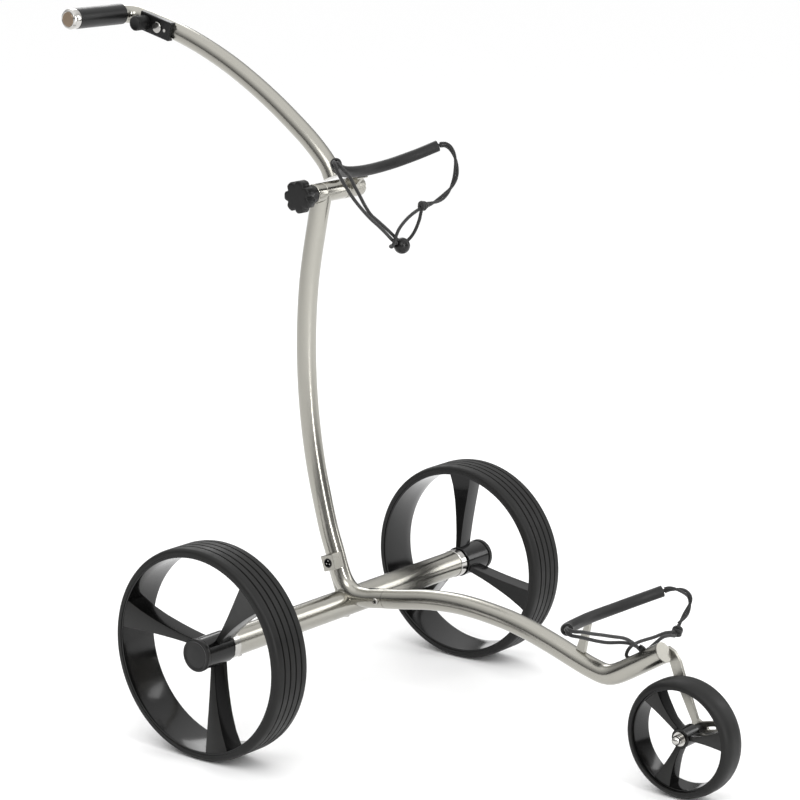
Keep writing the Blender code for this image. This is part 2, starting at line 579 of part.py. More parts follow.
def axle():
    centre = AXLE
    half = AXLE_TUBE_HALF
    piece("axle_tube", rod("tube", -half, half, AXLE_TUBE_RADIUS, centre, 32,
                           AXLE_TUBE_RADIUS - AXLE_TUBE_WALL), "brushed_steel", "frame", AXLE)
    for label, side in (("left", -1), ("right", 1)):
        inner, outer = side * COLLAR_INNER, side * COLLAR_OUTER
        piece("end_collar_" + label,
              rod("collar", inner, outer, COLLAR_RADIUS, centre, 32, SHAFT_RADIUS + RUN_GAP, 0.0008),
              "brushed_steel", "frame", (inner, centre.y, centre.z))
        end = AXLE_TUBE_HALF - 0.0075
        start = end - MOTOR_LENGTH
        can = AXLE_TUBE_RADIUS - AXLE_TUBE_WALL - MOTOR_CLEARANCE
        outline = [(start, 0), (start, can - 0.003), (start + 0.003, can - 0.0015),
                   (start + 0.085, can - 0.0015), (start + 0.087, can), (end, can), (end, 0)]
        piece("motor_" + label,
              turned("motor", [(side * x, r) for x, r in outline], centre, 24, closed=False),
              "motor", "frame", (side * start, centre.y, centre.z))
    for label, x in zip(("left", "middle", "right"), SCREW_PLACES):
        top = WHEEL_RADIUS - AXLE_TUBE_RADIUS - GAP
        head = [(top, 0), (top, SCREW_HEAD_RADIUS), (top - 0.0015, SCREW_HEAD_RADIUS),
                (top - SCREW_HEAD_HEIGHT, SCREW_HEAD_RADIUS - 0.0015), (top - SCREW_HEAD_HEIGHT, 0)]
        piece("axle_screw_" + label,
              turned("screw", head, (x, AXLE.y, 0), 12, "Z", closed=False), "bright_steel",
              "frame", (x, AXLE.y, top))


def stem():
    route = [at(*p) for p in STEM_ROUTE]
    points = thinned(smooth(route, 0.007))
    tube = piece("stem_tube", tube_mesh("stem", points, STEM_RADIUS, 18), "brushed_steel", "frame")
    hollow(tube, points, STEM_RADIUS - STEM_WALL, 18, "frame")
    saddle = rod("saddle", -0.03, 0.03, AXLE_TUBE_RADIUS + GAP, AXLE, 32)
    cope = rod("cope", -0.03, 0.03, HINGE_RADIUS + GAP, HINGE, 28)
    combine(tube, "DIFFERENCE", tool("saddle", saddle, "frame"), tool("cope", cope, "frame"))

    low, high = at(0, 0.0262, 0.1945), at(0, 0.0098, 0.1515)
    conduit = piece("cable_conduit", tube_mesh("conduit", [low, high], 0.0058, 14),
                    "brushed_steel", "frame", low)
    combine(conduit, "DIFFERENCE",
            tool("conduit_bore", tube_mesh("bore", stretched([low, high], 0.004), 0.0044, 14),
                 "frame"),
            tool("conduit_saddle", rod("saddle", -0.03, 0.03, AXLE_TUBE_RADIUS + GAP, AXLE, 32),
                 "frame"),
            tool("conduit_cope", tube_mesh("cope", points, STEM_RADIUS + GAP, 18), "frame"))


def socket():
    """Square socket box on the stem's left flank, with a round three-pin socket."""
    tilt = radians(-18)
    centre = at(-0.0142, 0.0130, 0.2045)
    box = piece("socket_box", block("box", (0.0196, 0.0215, 0.0220), centre, tilt, 0.0008),
                "brushed_steel", "frame", centre)
    stem_points = thinned(smooth([at(*p) for p in STEM_ROUTE], 0.007))
    face = centre.x - 0.0098
    combine(box, "DIFFERENCE",
            tool("box_cope", tube_mesh("cope", stem_points, STEM_RADIUS + GAP, 18), "frame"),
            tool("box_hole", rod("hole", face - 0.01, face + 0.0062, 0.0068, centre, 24), "frame"))
    insert = piece("socket_insert", socket_mesh(face, centre), "satin_black", "frame",
                   (face, centre.y, centre.z))
    pins = []
    for k in range(3):
        turn = radians(90 + 120 * k)
        spot = centre + Vector((0, 0.0030 * cos(turn), 0.0030 * sin(turn)))
        pins.append(tool("pin_%d" % k, rod("pin", face + 0.0010, face + 0.0050, 0.0010, spot, 8),
                         "frame"))
    combine(insert, "UNION", *pins)


def socket_mesh(face, centre):
    outline = [(face + 0.0058, 0), (face + 0.0058, 0.0065), (face - 0.0006, 0.0065),
               (face - 0.0006, 0.0053), (face + 0.0045, 0.0053), (face + 0.0045, 0)]
    return turned("socket", outline, (0, centre.y, centre.z), 24, closed=False)


def hinge():
    bore = CLAMP_BOLT_RADIUS + GAP
    piece("stem_knuckle", rod("knuckle", HINGE_NEAR, HINGE_SEAM, HINGE_RADIUS, HINGE, 28, bore),
          "brushed_steel", "frame", HINGE)
    start = HINGE_FAR_SEAM + GAP
    end_block = piece("upper_support_bracket",
                      rod("block", start, HINGE_END, HINGE_RADIUS, HINGE, 28, bore),
                      "brushed_steel", "frame", HINGE)
    top = at(*UPPER_SUPPORT[0])
    outward = Vector((0, top.y - HINGE.y, top.z - HINGE.z)).normalized()
    reach = (Vector((0, top.y, top.z)) - HINGE).length - SUPPORT_RADIUS - GAP
    across = Vector((0, -outward.z, outward.y))
    inside = HINGE_RADIUS * 0.8
    corners = [HINGE + outward * inside + across * 0.0095, HINGE + outward * inside - across * 0.0095,
               HINGE + outward * reach - across * 0.0060, HINGE + outward * reach + across * 0.0060]
    web = plate("web", [(c.y - AXLE_Y, c.z) for c in corners], UPPER_SUPPORT_SIDE - 0.0030,
                UPPER_SUPPORT_SIDE + 0.0030)
    seat = block("seat", (0.022, 0.0125, 0.0030), HINGE + outward * (reach - 0.0015)
                 + Vector((UPPER_SUPPORT_SIDE, 0, 0)), tilt_of(outward), 0.0005)
    combine(end_block, "UNION", tool("web", web, "frame"), tool("seat", seat, "frame"))
    bolt_near = HINGE_NEAR - 0.0190
    recess_bolt = [(bolt_near, 0), (bolt_near, CLAMP_BOLT_RADIUS), (HINGE_END, CLAMP_BOLT_RADIUS),
                   (HINGE_END + GAP, CLAMP_BOLT_RADIUS), (HINGE_END + GAP, HINGE_RADIUS - 0.0010),
                   (HINGE_END + 0.0022, HINGE_RADIUS - 0.0010), (HINGE_END + 0.0034, HINGE_RADIUS - 0.0034),
                   (HINGE_END + 0.0034, 0)]
    piece("clamp_bolt", turned("bolt", recess_bolt, HINGE, 24, closed=False), "brushed_steel",
          "frame", HINGE)


def tilt_of(direction):
    """The turn about X that leans a flat block to face a direction in the y-z plane."""
    return Vector((0, 1)).angle_signed(Vector((direction.y, direction.z))) * -1


def star_knob():
    pivot("star_knob", Vector((HINGE_NEAR, HINGE.y, HINGE.z)), "frame")
    start = HINGE_NEAR - RUN_GAP
    bore = CLAMP_BOLT_RADIUS + GAP
    hub = [(start, bore), (start, KNOB_HUB_RADIUS), (start - KNOB_LENGTH + 0.004, KNOB_HUB_RADIUS),
           (start - KNOB_LENGTH + 0.004, 0), (HINGE_NEAR - 0.0196, 0), (HINGE_NEAR - 0.0196, bore)]
    knob = piece("star_knob", turned("hub", hub, (0, HINGE.y, HINGE.z), 28),
                 "satin_black", "star_knob")
    bm = bmesh.new()
    count = KNOB_LOBES * 8
    ring = []
    for k in range(count):
        turn = 2 * pi * k / count
        radius = KNOB_RADIUS - 0.0028 + 0.0028 * cos(KNOB_LOBES * turn)
        ring.append(bm.verts.new((start - KNOB_LENGTH, HINGE.y + radius * cos(turn),
                                  HINGE.z + radius * sin(turn))))
    face = bm.faces.new(ring)
    grown = bmesh.ops.extrude_face_region(bm, geom=[face])
    moved = [v for v in grown["geom"] if isinstance(v, bmesh.types.BMVert)]
    bmesh.ops.translate(bm, verts=moved, vec=(KNOB_DISC, 0, 0))
    star = to_mesh(bm, "star")
    disc_bore = rod("bore", HINGE_NEAR - 0.0196, start + 0.01, bore, HINGE, 28)
    combine(knob, "UNION", tool("star", star, "star_knob"))
    combine(knob, "DIFFERENCE", tool("star_bore", disc_bore, "star_knob"))


def handle_points():
    """Up the handle, round the bend at its top and out along the grip."""
    slope = smooth([at(HANDLE_SIDE, back, height) for back, height in HANDLE_ROUTE], 0.012)
    corner = at(HANDLE_SIDE, GRIP_BACK, GRIP_HEIGHT)
    along = (corner - slope[-1]).normalized()
    bend = [corner - along * BEND_RADIUS * (1 - sin(t)) - Vector((BEND_RADIUS, 0, 0)) * (1 - cos(t))
            for t in [radians(15 * k) for k in range(7)]]
    straight = [corner - Vector((x, 0, 0)) for x in (0.060, HANDLE_SIDE - GRIP_NEAR - 0.002)]
    return thinned([p for p in slope if (corner - p).length > BEND_RADIUS + 0.008]
                   + bend + straight)


def handle():
    pivot("handle", Vector((HANDLE_SIDE, HINGE.y, HINGE.z)), "frame")
    bore = CLAMP_BOLT_RADIUS + GAP
    piece("handle_knuckle", rod("knuckle", HINGE_SEAM + GAP, HINGE_FAR_SEAM, HINGE_RADIUS, HINGE,
                                28, bore), "brushed_steel", "handle")
    points = handle_points()
    tube = piece("handle_tube", tube_mesh("handle", points, HANDLE_RADIUS, 18), "brushed_steel",
                 "handle")
    hollow(tube, points, HANDLE_RADIUS - HANDLE_WALL, 18, "handle")
    combine(tube, "DIFFERENCE",
            tool("handle_cope", rod("cope", -0.01, 0.07, HINGE_RADIUS + GAP, HINGE, 28), "handle"))
    grip = at(0, GRIP_BACK, GRIP_HEIGHT)
    inside = HANDLE_RADIUS + GAP
    sleeve = [(GRIP_FAR, inside), (GRIP_FAR, GRIP_RADIUS - 0.0012), (GRIP_FAR - 0.0012, GRIP_RADIUS),
              (GRIP_NEAR + 0.0008, GRIP_RADIUS), (GRIP_NEAR, GRIP_RADIUS - 0.0008),
              (GRIP_NEAR, inside)]
    piece("grip_sleeve", turned("sleeve", sleeve, grip, 24), "satin_black", "handle", grip)
    cap = [(GRIP_NEAR - GAP, 0), (GRIP_NEAR - GAP, GRIP_RADIUS - 0.0002),
           (GRIP_END + 0.0045, GRIP_RADIUS - 0.0002), (GRIP_END + 0.0010, GRIP_RADIUS - 0.0024),
           (GRIP_END + 0.0010, GRIP_RADIUS - 0.0036), (GRIP_END, GRIP_RADIUS - 0.0048),
           (GRIP_END, 0)]
    piece("grip_end_cap", turned("cap", cap, grip, 24, closed=False), "bright_steel", "handle",
          grip)
    controls()


def controls():
    """Speed knob and push button in a black housing on the tube's left flank."""
    slope = radians(14.6)
    along = Vector((0, cos(slope), sin(slope)))
    knob_at = at(HOUSING_FACE, 0.3741, 0.9317)
    button_at = knob_at - along * 0.0232
    screw_at = knob_at - along * 0.0380
    length, deep = 0.0600, 0.0110
    middle = knob_at - along * 0.0170 + Vector((deep / 2, 0, 0))
    housing = piece("control_housing", block("housing", (deep, length, HOUSING_WIDTH), middle,
                                             slope, 0.0016), "satin_black", "handle", middle)
    tube = tube_mesh("tube", handle_points(), HANDLE_RADIUS + GAP, 18)
    button_hole = rod("hole", HOUSING_FACE - 0.005, HOUSING_FACE + 0.0035, BUTTON_RADIUS + RUN_GAP,
                      button_at, 24)
    combine(housing, "DIFFERENCE", tool("housing_cope", tube, "handle"),
            tool("button_hole", button_hole, "handle"))
    head = rod("head", HOUSING_FACE - GAP - 0.0012, HOUSING_FACE - GAP, 0.0024, screw_at, 12)
    piece("housing_screw", head, "bright_steel", "handle", screw_at)
    pivot("push_button", button_at, "handle")
    piece("push_button", rod("button", HOUSING_FACE + 0.0035 - BUTTON_TRAVEL - GAP,
                             HOUSING_FACE - 0.0022, BUTTON_RADIUS, button_at, 24, chamfer=0.0005),
          "bright_steel", "push_button")
    pivot("speed_knob", knob_at, "handle")
    bm = bmesh.new()
    count = 48
    ring = [bm.verts.new((HOUSING_FACE - RUN_GAP,
                          knob_at.y + (SPEED_KNOB_RADIUS - 0.0006 * (k % 2)) * cos(2 * pi * k / count),
                          knob_at.z + (SPEED_KNOB_RADIUS - 0.0006 * (k % 2)) * sin(2 * pi * k / count)))
            for k in range(count)]
    grown = bmesh.ops.extrude_face_region(bm, geom=[bm.faces.new(ring)])
    moved = [v for v in grown["geom"] if isinstance(v, bmesh.types.BMVert)]
    bmesh.ops.translate(bm, verts=moved, vec=(-SPEED_KNOB_LENGTH, 0, 0))
    piece("speed_knob", to_mesh(bm, "knob"), "satin_black", "speed_knob")


def front_leg():
    start = at(*LEG_ROUTE[0])
    pivot("front_leg", start, "frame")
    route = [at(*p) for p in LEG_ROUTE]
    points = thinned(smooth(route, 0.007))
    tube = piece("front_tube", tube_mesh("leg", points, LEG_RADIUS, 18), "brushed_steel",
                 "front_leg")
    hollow(tube, points, LEG_RADIUS - LEG_WALL, 18, "front_leg")
    back = -LEG_AXIS
    plug = tube_mesh("plug", [points[0] - back * 0.0060, points[0] - back * 0.0005],
                     LEG_RADIUS - LEG_WALL / 2, 18)
    spigot = tube_mesh("spigot", [points[0] - back * 0.0040, points[0] + back * SPIGOT_LENGTH],
                       SPIGOT_RADIUS, 20)
    combine(tube, "UNION", tool("plug", plug, "front_leg"), tool("spigot", spigot, "front_leg"))

    ahead = (points[-1] - points[-2]).normalized()
    end = points[-1] + ahead * GAP
    piece("front_end_cap", tube_mesh("cap", [end, end + ahead * 0.0018], LEG_RADIUS, 18),
          "brushed_steel", "front_leg", end)
    below = at(0, -0.5045, 0.1616) - Vector((0, -ahead.z, ahead.y)) * (LEG_RADIUS + GAP)
    down = Vector((0, ahead.z, -ahead.y))
    piece("leg_screw", tube_mesh("screw", [below, below + down * 0.0035], 0.0048, 12),
          "satin_black", "front_leg", below)
    fork_arm()
    front_wheel()


def support(label, half_route, side, body):
    """A curved steel rod in a rubber sleeve that the bag lies against."""
    right = [at(side + x, back, height) for x, back, height in half_route]
    left = [at(side - x, back, height) for x, back, height in half_route]
    whole = list(reversed(left)) + right[1:]
    points = thinned(smooth(whole, 0.012), radians(5))
    ends = [points[0].lerp(points[1], 0.4), points[-1].lerp(points[-2], 0.4)]
    rod_points = [ends[0]] + points[1:-1] + [ends[1]]
    piece(label + "_support_bar", tube_mesh("bar", rod_points, SUPPORT_ROD_RADIUS, 10),
          "bright_steel", body, right[0])
    sleeve = piece(label + "_support_sleeve", tube_mesh("sleeve", points, SUPPORT_RADIUS, 14),
                   "satin_black", body, right[0])
    hollow(sleeve, points, SUPPORT_ROD_RADIUS + GAP, 10, body)


def cord(name, route, radius, body):
    """An elastic cord along its own route."""
    points = smooth([at(*p) for p in route], 0.010 if radius < 0.0025 else 0.012)
    curve = round_curve(name, points, radius, 2)
    node = hang(name, curve, body, points[0])
    curve.materials.append(finish("cord", name))
    return node


def supports():
    support("upper", UPPER_SUPPORT, UPPER_SUPPORT_SIDE, "frame")
    support("lower", LOWER_SUPPORT, 0.0, "front_leg")
    top = at(*LOWER_SUPPORT[0])
    foot_back, foot_height = -0.4010, 0.1534
    lean = Vector((top.y - AXLE_Y - foot_back, top.z - foot_height)).normalized()
    reach = Vector((top.y - AXLE_Y - foot_back, top.z - foot_height)).length - SUPPORT_RADIUS - GAP
    side = Vector((lean.y, -lean.x))
    base, tip = Vector((foot_back, foot_height)) - lean * 0.012, Vector((foot_back, foot_height)) + lean * reach
    outline = [base + side * 0.0075, base - side * 0.0075, tip - side * 0.0035, tip + side * 0.0035]
    post = piece("lower_support_post", plate("post", [tuple(p) for p in outline], -0.0030, 0.0030),
                 "brushed_steel", "front_leg")
    leg_points = thinned(smooth([at(*p) for p in LEG_ROUTE], 0.007))
    combine(post, "DIFFERENCE",
            tool("post_cope", tube_mesh("cope", leg_points, LEG_RADIUS + GAP, 18), "front_leg"))


def cords():
    cord("upper_cord_near_a", UPPER_NEAR_A, CORD_RADIUS, "frame")
    cord("upper_cord_near_b", UPPER_NEAR_B, CORD_RADIUS, "frame")
    cord("upper_loop_cord", UPPER_LOOP, CORD_RADIUS, "frame")
    cord("upper_cord_far", UPPER_FAR, DOUBLE_CORD_RADIUS, "frame")
    piece("toggle_ball", ball("ball", BALL_RADIUS, at(*BALL_CENTRE)), "satin_black", "frame",
          at(*BALL_CENTRE))
    piece("upper_knot", ball("knot", KNOT_RADIUS, at(*UPPER_KNOT), (1.0, 0.8, 0.95), 1), "cord",
          "frame", at(*UPPER_KNOT))
    cord("lower_cord_near_a", LOWER_NEAR_A, CORD_RADIUS, "front_leg")
    cord("lower_cord_near_b", LOWER_NEAR_B, CORD_RADIUS, "front_leg")
    cord("lower_loop_cord", LOWER_LOOP, CORD_RADIUS, "front_leg")
    cord("lower_cord_far", LOWER_FAR, DOUBLE_CORD_RADIUS, "front_leg")
    piece("lower_knot", ball("knot", KNOT_RADIUS, at(*LOWER_KNOT), (0.9, 0.8, 1.0), 1), "cord",
          "front_leg", at(*LOWER_KNOT))


def lock_screw():
    """Screw that locks the plugged-in front leg, on the stub's left side."""
    spot = at(0, -0.0640, 0.1610)
    x = -STEM_RADIUS - GAP
    head = [(x, 0), (x, 0.0047), (x - 0.0016, 0.0047), (x - 0.0024, 0.0038), (x - 0.0024, 0.0022),
            (x - 0.0010, 0.0020), (x - 0.0010, 0)]
    piece("leg_lock_screw", turned("lock", head, (0, spot.y, spot.z), 16, closed=False),
          "bright_steel", "frame", (x, spot.y, spot.z))


def build():
    for item in list(bpy.data.objects):
        bpy.data.objects.remove(item)
    pivot("frame", Vector((0, 0, 0)))
    axle()
    stem()
    socket()
    hinge()
    star_knob()
    handle()
    front_leg()
    supports()
    cords()
    lock_screw()
    rear_wheel("left", -1, 45)
    rear_wheel("right", 1, 97)


build()
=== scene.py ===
"""Finished look of the three-wheeled golf trolley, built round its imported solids."""

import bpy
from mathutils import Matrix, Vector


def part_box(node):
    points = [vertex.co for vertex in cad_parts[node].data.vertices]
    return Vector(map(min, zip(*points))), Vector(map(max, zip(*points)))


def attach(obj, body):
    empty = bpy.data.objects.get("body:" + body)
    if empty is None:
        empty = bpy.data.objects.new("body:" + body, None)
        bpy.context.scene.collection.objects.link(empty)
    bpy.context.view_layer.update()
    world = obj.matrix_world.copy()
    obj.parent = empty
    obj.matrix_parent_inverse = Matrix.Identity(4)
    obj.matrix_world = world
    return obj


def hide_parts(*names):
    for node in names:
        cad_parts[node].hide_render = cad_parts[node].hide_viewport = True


bl_info = {
    "name": "Golf Trolley Finish",
    "version": (1, 0, 0),
    "blender": (4, 5, 0),
    "location": "View3D > Sidebar > Trolley",
    "description": "Fine surfaces, cords, materials and a studio for a stainless golf trolley",
    "category": "Object",
}

from math import atan2, cos, pi, radians, sin

import bmesh
import bpy
import numpy as np
from mathutils import Matrix, Vector

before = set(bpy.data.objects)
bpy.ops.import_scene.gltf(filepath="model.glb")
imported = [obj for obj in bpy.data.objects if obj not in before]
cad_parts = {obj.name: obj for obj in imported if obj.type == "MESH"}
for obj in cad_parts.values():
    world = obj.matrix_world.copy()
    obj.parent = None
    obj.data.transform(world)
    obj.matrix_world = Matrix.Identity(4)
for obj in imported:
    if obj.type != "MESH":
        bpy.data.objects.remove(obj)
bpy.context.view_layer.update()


def middle_of(node):
    """The middle of a solid's box."""
    low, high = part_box(node)
    return (low + high) / 2


AXLE = middle_of("axle_tube")
HINGE = middle_of("stem_knuckle")
HINGE.x = 0
FRONT = middle_of("front_tyre")

# routes as (x, distance behind the axle, height)
STEM_ROUTE = [
    (0, 0.0387, 0.7208), (0, 0.0480, 0.681), (0, 0.0638, 0.596), (0, 0.0698, 0.510),
    (0, 0.0668, 0.425), (0, 0.0551, 0.341), (0, 0.0346, 0.257), (0, 0.0206, 0.216),
    (0, 0.0085, 0.183), (0, -0.0030, 0.1665), (0, -0.0190, 0.1585), (0, -0.0410, 0.1582),
    (0, -0.0570, 0.1607), (0, -0.0730, 0.1632),
]
LEG_ROUTE = [
    (0, -0.0733, 0.16325), (0, -0.100, 0.1676), (0, -0.149, 0.1758), (0, -0.200, 0.1795),
    (0, -0.251, 0.1767), (0, -0.301, 0.1693), (0, -0.351, 0.1556), (0, -0.400, 0.1393),
    (0, -0.4240, 0.1325), (0, -0.4420, 0.1298), (0, -0.4600, 0.1350), (0, -0.4943, 0.1552),
    (0, -0.5290, 0.1765),
]
HANDLE_SIDE = 0.029
HANDLE_ROUTE = [(HANDLE_SIDE, back, height) for back, height in (
    (0.0445, 0.7375), (0.0545, 0.7560), (0.0826, 0.7835), (0.1185, 0.8110), (0.1547, 0.8360),
    (0.1913, 0.8585), (0.2280, 0.8785), (0.2655, 0.8958), (0.3030, 0.9105), (0.3415, 0.9228),
    (0.3800, 0.9331))]
GRIP = (0.4182, 0.9414)
UPPER_SUPPORT = [(0, 0.0056, 0.7482), (0.045, -0.0005, 0.7520), (0.083, -0.0165, 0.7620),
                 (0.1106, -0.0355, 0.7738)]
LOWER_SUPPORT = [(0, -0.4148, 0.2021), (0.045, -0.4205, 0.2040), (0.083, -0.4360, 0.2110),
                 (0.1095, -0.4550, 0.2198)]
SUPPORTS = {"upper": (UPPER_SUPPORT, 0.050), "lower": (LOWER_SUPPORT, 0.0)}
CORDS = {
    "upper_cord_near_a": [
        (-0.0645, -0.0354, 0.7749), (-0.0735, -0.0430, 0.7780), (-0.0790, -0.0510, 0.7725),
        (-0.0770, -0.0555, 0.7610), (-0.0635, -0.0565, 0.7430), (-0.0490, -0.0560, 0.7275),
        (-0.0315, -0.0555, 0.7115), (-0.0115, -0.0540, 0.6960), (0.0105, -0.0520, 0.6815),
        (0.0300, -0.0485, 0.6690), (0.0450, -0.0463, 0.6585), (0.0560, -0.0460, 0.6517)],
    "upper_cord_near_b": [
        (-0.0617, -0.0390, 0.7749), (-0.0665, -0.0435, 0.7760), (-0.0680, -0.0495, 0.7715),
        (-0.0610, -0.0525, 0.7640), (-0.0520, -0.0520, 0.7570), (-0.0395, -0.0505, 0.7420),
        (-0.0265, -0.0490, 0.7270), (-0.0155, -0.0480, 0.7135), (-0.0020, -0.0475, 0.6990),
        (0.0155, -0.0470, 0.6870), (0.0330, -0.0465, 0.6750), (0.0480, -0.0462, 0.6640),
        (0.0585, -0.0460, 0.6560)],
    "upper_loop_cord": [
        (0.1045, -0.0460, 0.6925), (0.0905, -0.0460, 0.6880), (0.0750, -0.0468, 0.6815),
        (0.0580, -0.0495, 0.6730), (0.0475, -0.0518, 0.6640), (0.0445, -0.0505, 0.6550),
        (0.0480, -0.0445, 0.6480), (0.0550, -0.0360, 0.6465), (0.0660, -0.0310, 0.6460),
        (0.0785, -0.0310, 0.6455), (0.0900, -0.0345, 0.6480), (0.0970, -0.0390, 0.6550),
        (0.1010, -0.0435, 0.6650), (0.1065, -0.0457, 0.6780), (0.1095, -0.0460, 0.6875)],
    "upper_cord_far": [
        (0.1215, -0.0460, 0.6968), (0.1330, -0.0460, 0.6972), (0.1450, -0.0460, 0.6988),
        (0.1600, -0.0465, 0.7040), (0.1745, -0.0475, 0.7135), (0.1840, -0.0480, 0.7265),
        (0.1868, -0.0480, 0.7410), (0.1850, -0.0470, 0.7560), (0.1795, -0.0445, 0.7680),
        (0.1715, -0.0415, 0.7745), (0.1634, -0.0375, 0.7752)],
    "lower_cord_near_a": [
        (-0.1118, -0.4567, 0.2232), (-0.1190, -0.4620, 0.2255), (-0.1245, -0.4690, 0.2262),
        (-0.1235, -0.4765, 0.2250), (-0.1150, -0.4808, 0.2235), (-0.0935, -0.4815, 0.2160),
        (-0.0685, -0.4815, 0.2080), (-0.0460, -0.4820, 0.2005), (-0.0205, -0.4828, 0.1920),
        (-0.0020, -0.4825, 0.1820), (0.0125, -0.4812, 0.1718), (0.0260, -0.4788, 0.1616),
        (0.0360, -0.4765, 0.1556)],
    "lower_cord_near_b": [
        (-0.1122, -0.4569, 0.2180), (-0.1180, -0.4615, 0.2185), (-0.1195, -0.4680, 0.2175),
        (-0.1140, -0.4728, 0.2155), (-0.1050, -0.4740, 0.2125), (-0.0900, -0.4745, 0.2065),
        (-0.0680, -0.4750, 0.1982), (-0.0475, -0.4760, 0.1915), (-0.0195, -0.4765, 0.1848),
        (-0.0010, -0.4768, 0.1792), (0.0110, -0.4762, 0.1738), (0.0210, -0.4750, 0.1685)],
    "lower_loop_cord": [
        (0.1070, -0.4725, 0.1668), (0.0920, -0.4710, 0.1688), (0.0710, -0.4690, 0.1682),
        (0.0510, -0.4675, 0.1690), (0.0360, -0.4665, 0.1692), (0.0210, -0.4660, 0.1675),
        (0.0115, -0.4660, 0.1620), (0.0110, -0.4660, 0.1562), (0.0200, -0.4665, 0.1520),
        (0.0410, -0.4680, 0.1528), (0.0565, -0.4710, 0.1568), (0.0680, -0.4745, 0.1630),
        (0.0790, -0.4770, 0.1675), (0.0940, -0.4775, 0.1662), (0.1080, -0.4765, 0.1620)],
    "lower_cord_far": [
        (0.1230, -0.4735, 0.1740), (0.1345, -0.4730, 0.1800), (0.1445, -0.4730, 0.1880),
        (0.1500, -0.4730, 0.1970), (0.1485, -0.4728, 0.2065), (0.1390, -0.4710, 0.2150),
        (0.1270, -0.4670, 0.2200), (0.1180, -0.4610, 0.2220), (0.1123, -0.4570, 0.2208)],
}


# ---- user settings ----

def colour_setting(label, note, value):
    return bpy.props.FloatVectorProperty(name=label, description=note, default=value, size=3,
                                         min=0, max=1, subtype="COLOR")


def size_setting(label, note, value):
    return bpy.props.FloatProperty(name=label, description=note, default=value, min=0,
                                   unit="LENGTH", precision=4)


class TrolleySizes(bpy.types.PropertyGroup):
    groove_depth: size_setting("Tread groove depth", "Depth of the tyre's grooves", 0.0018)
    edge_round: size_setting("Edge rounding", "Rounding of cut plate and moulded edges", 0.0006)
    cord_thickness: size_setting("Cord thickness", "Diameter of one elastic strand", 0.0047)
    sleeve_wall: size_setting("Sleeve wall", "Wall of the support sleeves", 0.0026)


class TrolleyColours(bpy.types.PropertyGroup):
    steel: colour_setting("Steel", "Brushed stainless tube", (0.37, 0.36, 0.325))
    bright: colour_setting("Bright steel", "Polished nuts and rings", (0.50, 0.49, 0.47))
    bronze: colour_setting("Badge disc", "Plain disc in the grip's end", (0.30, 0.23, 0.17))
    tyre: colour_setting("Tyre", "Tyre rubber", (0.0070, 0.0070, 0.0067))
    rim: colour_setting("Rim", "Gloss rim and hub", (0.0025, 0.0025, 0.0025))
    spoke: colour_setting("Spoke face", "Satin front of each spoke", (0.010, 0.010, 0.0095))
    plastic: colour_setting("Plastic", "Moulded knobs and housing", (0.004, 0.004, 0.004))
    sleeve: colour_setting("Sleeve", "Rubber support sleeves", (0.006, 0.006, 0.006))
    cord: colour_setting("Cord", "Braided elastic cord", (0.005, 0.005, 0.005))


class TrolleyStudio(bpy.types.PropertyGroup):
    floor: colour_setting("Floor", "Studio floor", (0.97, 0.97, 0.97))
    sky: bpy.props.FloatProperty(name="Sky light", description="Strength of the even light",
                                 default=1.38, min=0)
    key: bpy.props.FloatProperty(name="Key light", description="Power of the main soft box",
                                 default=26.0, min=0, unit="POWER")
    lens: bpy.props.FloatProperty(name="Lens", description="Camera lens", default=129.49, min=1,
                                  unit="CAMERA")


def sizes():
    return bpy.context.scene.trolley_sizes


def colours():
    return bpy.context.scene.trolley_colours


# ---- shapes ----

def at(x, back, height):
    """A point from x, the distance behind the axle and the height."""
    return Vector((x, AXLE.y + back, height))


def smooth(route, step):
    """Points at even steps along a smooth curve through a route's own points."""
    route = [Vector(p) for p in route]
    route = [2 * route[0] - route[1]] + route + [2 * route[-1] - route[-2]]
    fine = []
    for a, b, c, d in zip(route, route[1:], route[2:], route[3:]):
        for i in range(24):
            t = i / 24
            fine.append(0.5 * (2 * b + (c - a) * t + (2 * a - 5 * b + 4 * c - d) * t * t
                               + (3 * b - a - 3 * c + d) * t ** 3))
    fine.append(route[-2])
    lengths = np.cumsum([0] + [(q - p).length for p, q in zip(fine, fine[1:])])
    count = max(2, round(lengths[-1] / step))
    even = np.linspace(0, lengths[-1], count + 1)
    table = np.array(fine)
    return [Vector([float(np.interp(s, lengths, table[:, k])) for k in range(3)]) for s in even]


def run_frames(points):
    """Distance along a run of points, and two directions across it that don't twist."""
    ahead = [(q - p).normalized() for p, q in zip(points, points[1:])]
    ahead = [ahead[0]] + [(a + b).normalized() for a, b in zip(ahead, ahead[1:])] + [ahead[-1]]
    start = Vector((1, 0, 0)) if abs(ahead[0].x) < 0.8 else Vector((0, 0, 1))
    side = (start - ahead[0] * start.dot(ahead[0])).normalized()
    sides, along = [side], [0.0]
    for before, here, turn_to in zip(points, points[1:], ahead[1:]):
        side = (side - turn_to * side.dot(turn_to)).normalized()
        sides.append(side)
        along.append(along[-1] + (here - before).length)
    return along, ahead, sides


def lay_grain(mesh, points):
    """Store (across, across, along) in metres at each point, for grain that follows a tube."""
    along, ahead, sides = run_frames(points)
    places, heads, flanks = np.array(points), np.array(ahead), np.array(sides)
    co = np.array([v.co for v in mesh.vertices])
    store = mesh.attributes.new("grain", "FLOAT_VECTOR", "POINT")
    for i, p in enumerate(co):
        k = int(np.argmin(((places - p) ** 2).sum(1)))
        off = p - places[k]
        third = np.cross(heads[k], flanks[k])
        store.data[i].vector = (off @ flanks[k], off @ third, along[k] + off @ heads[k])


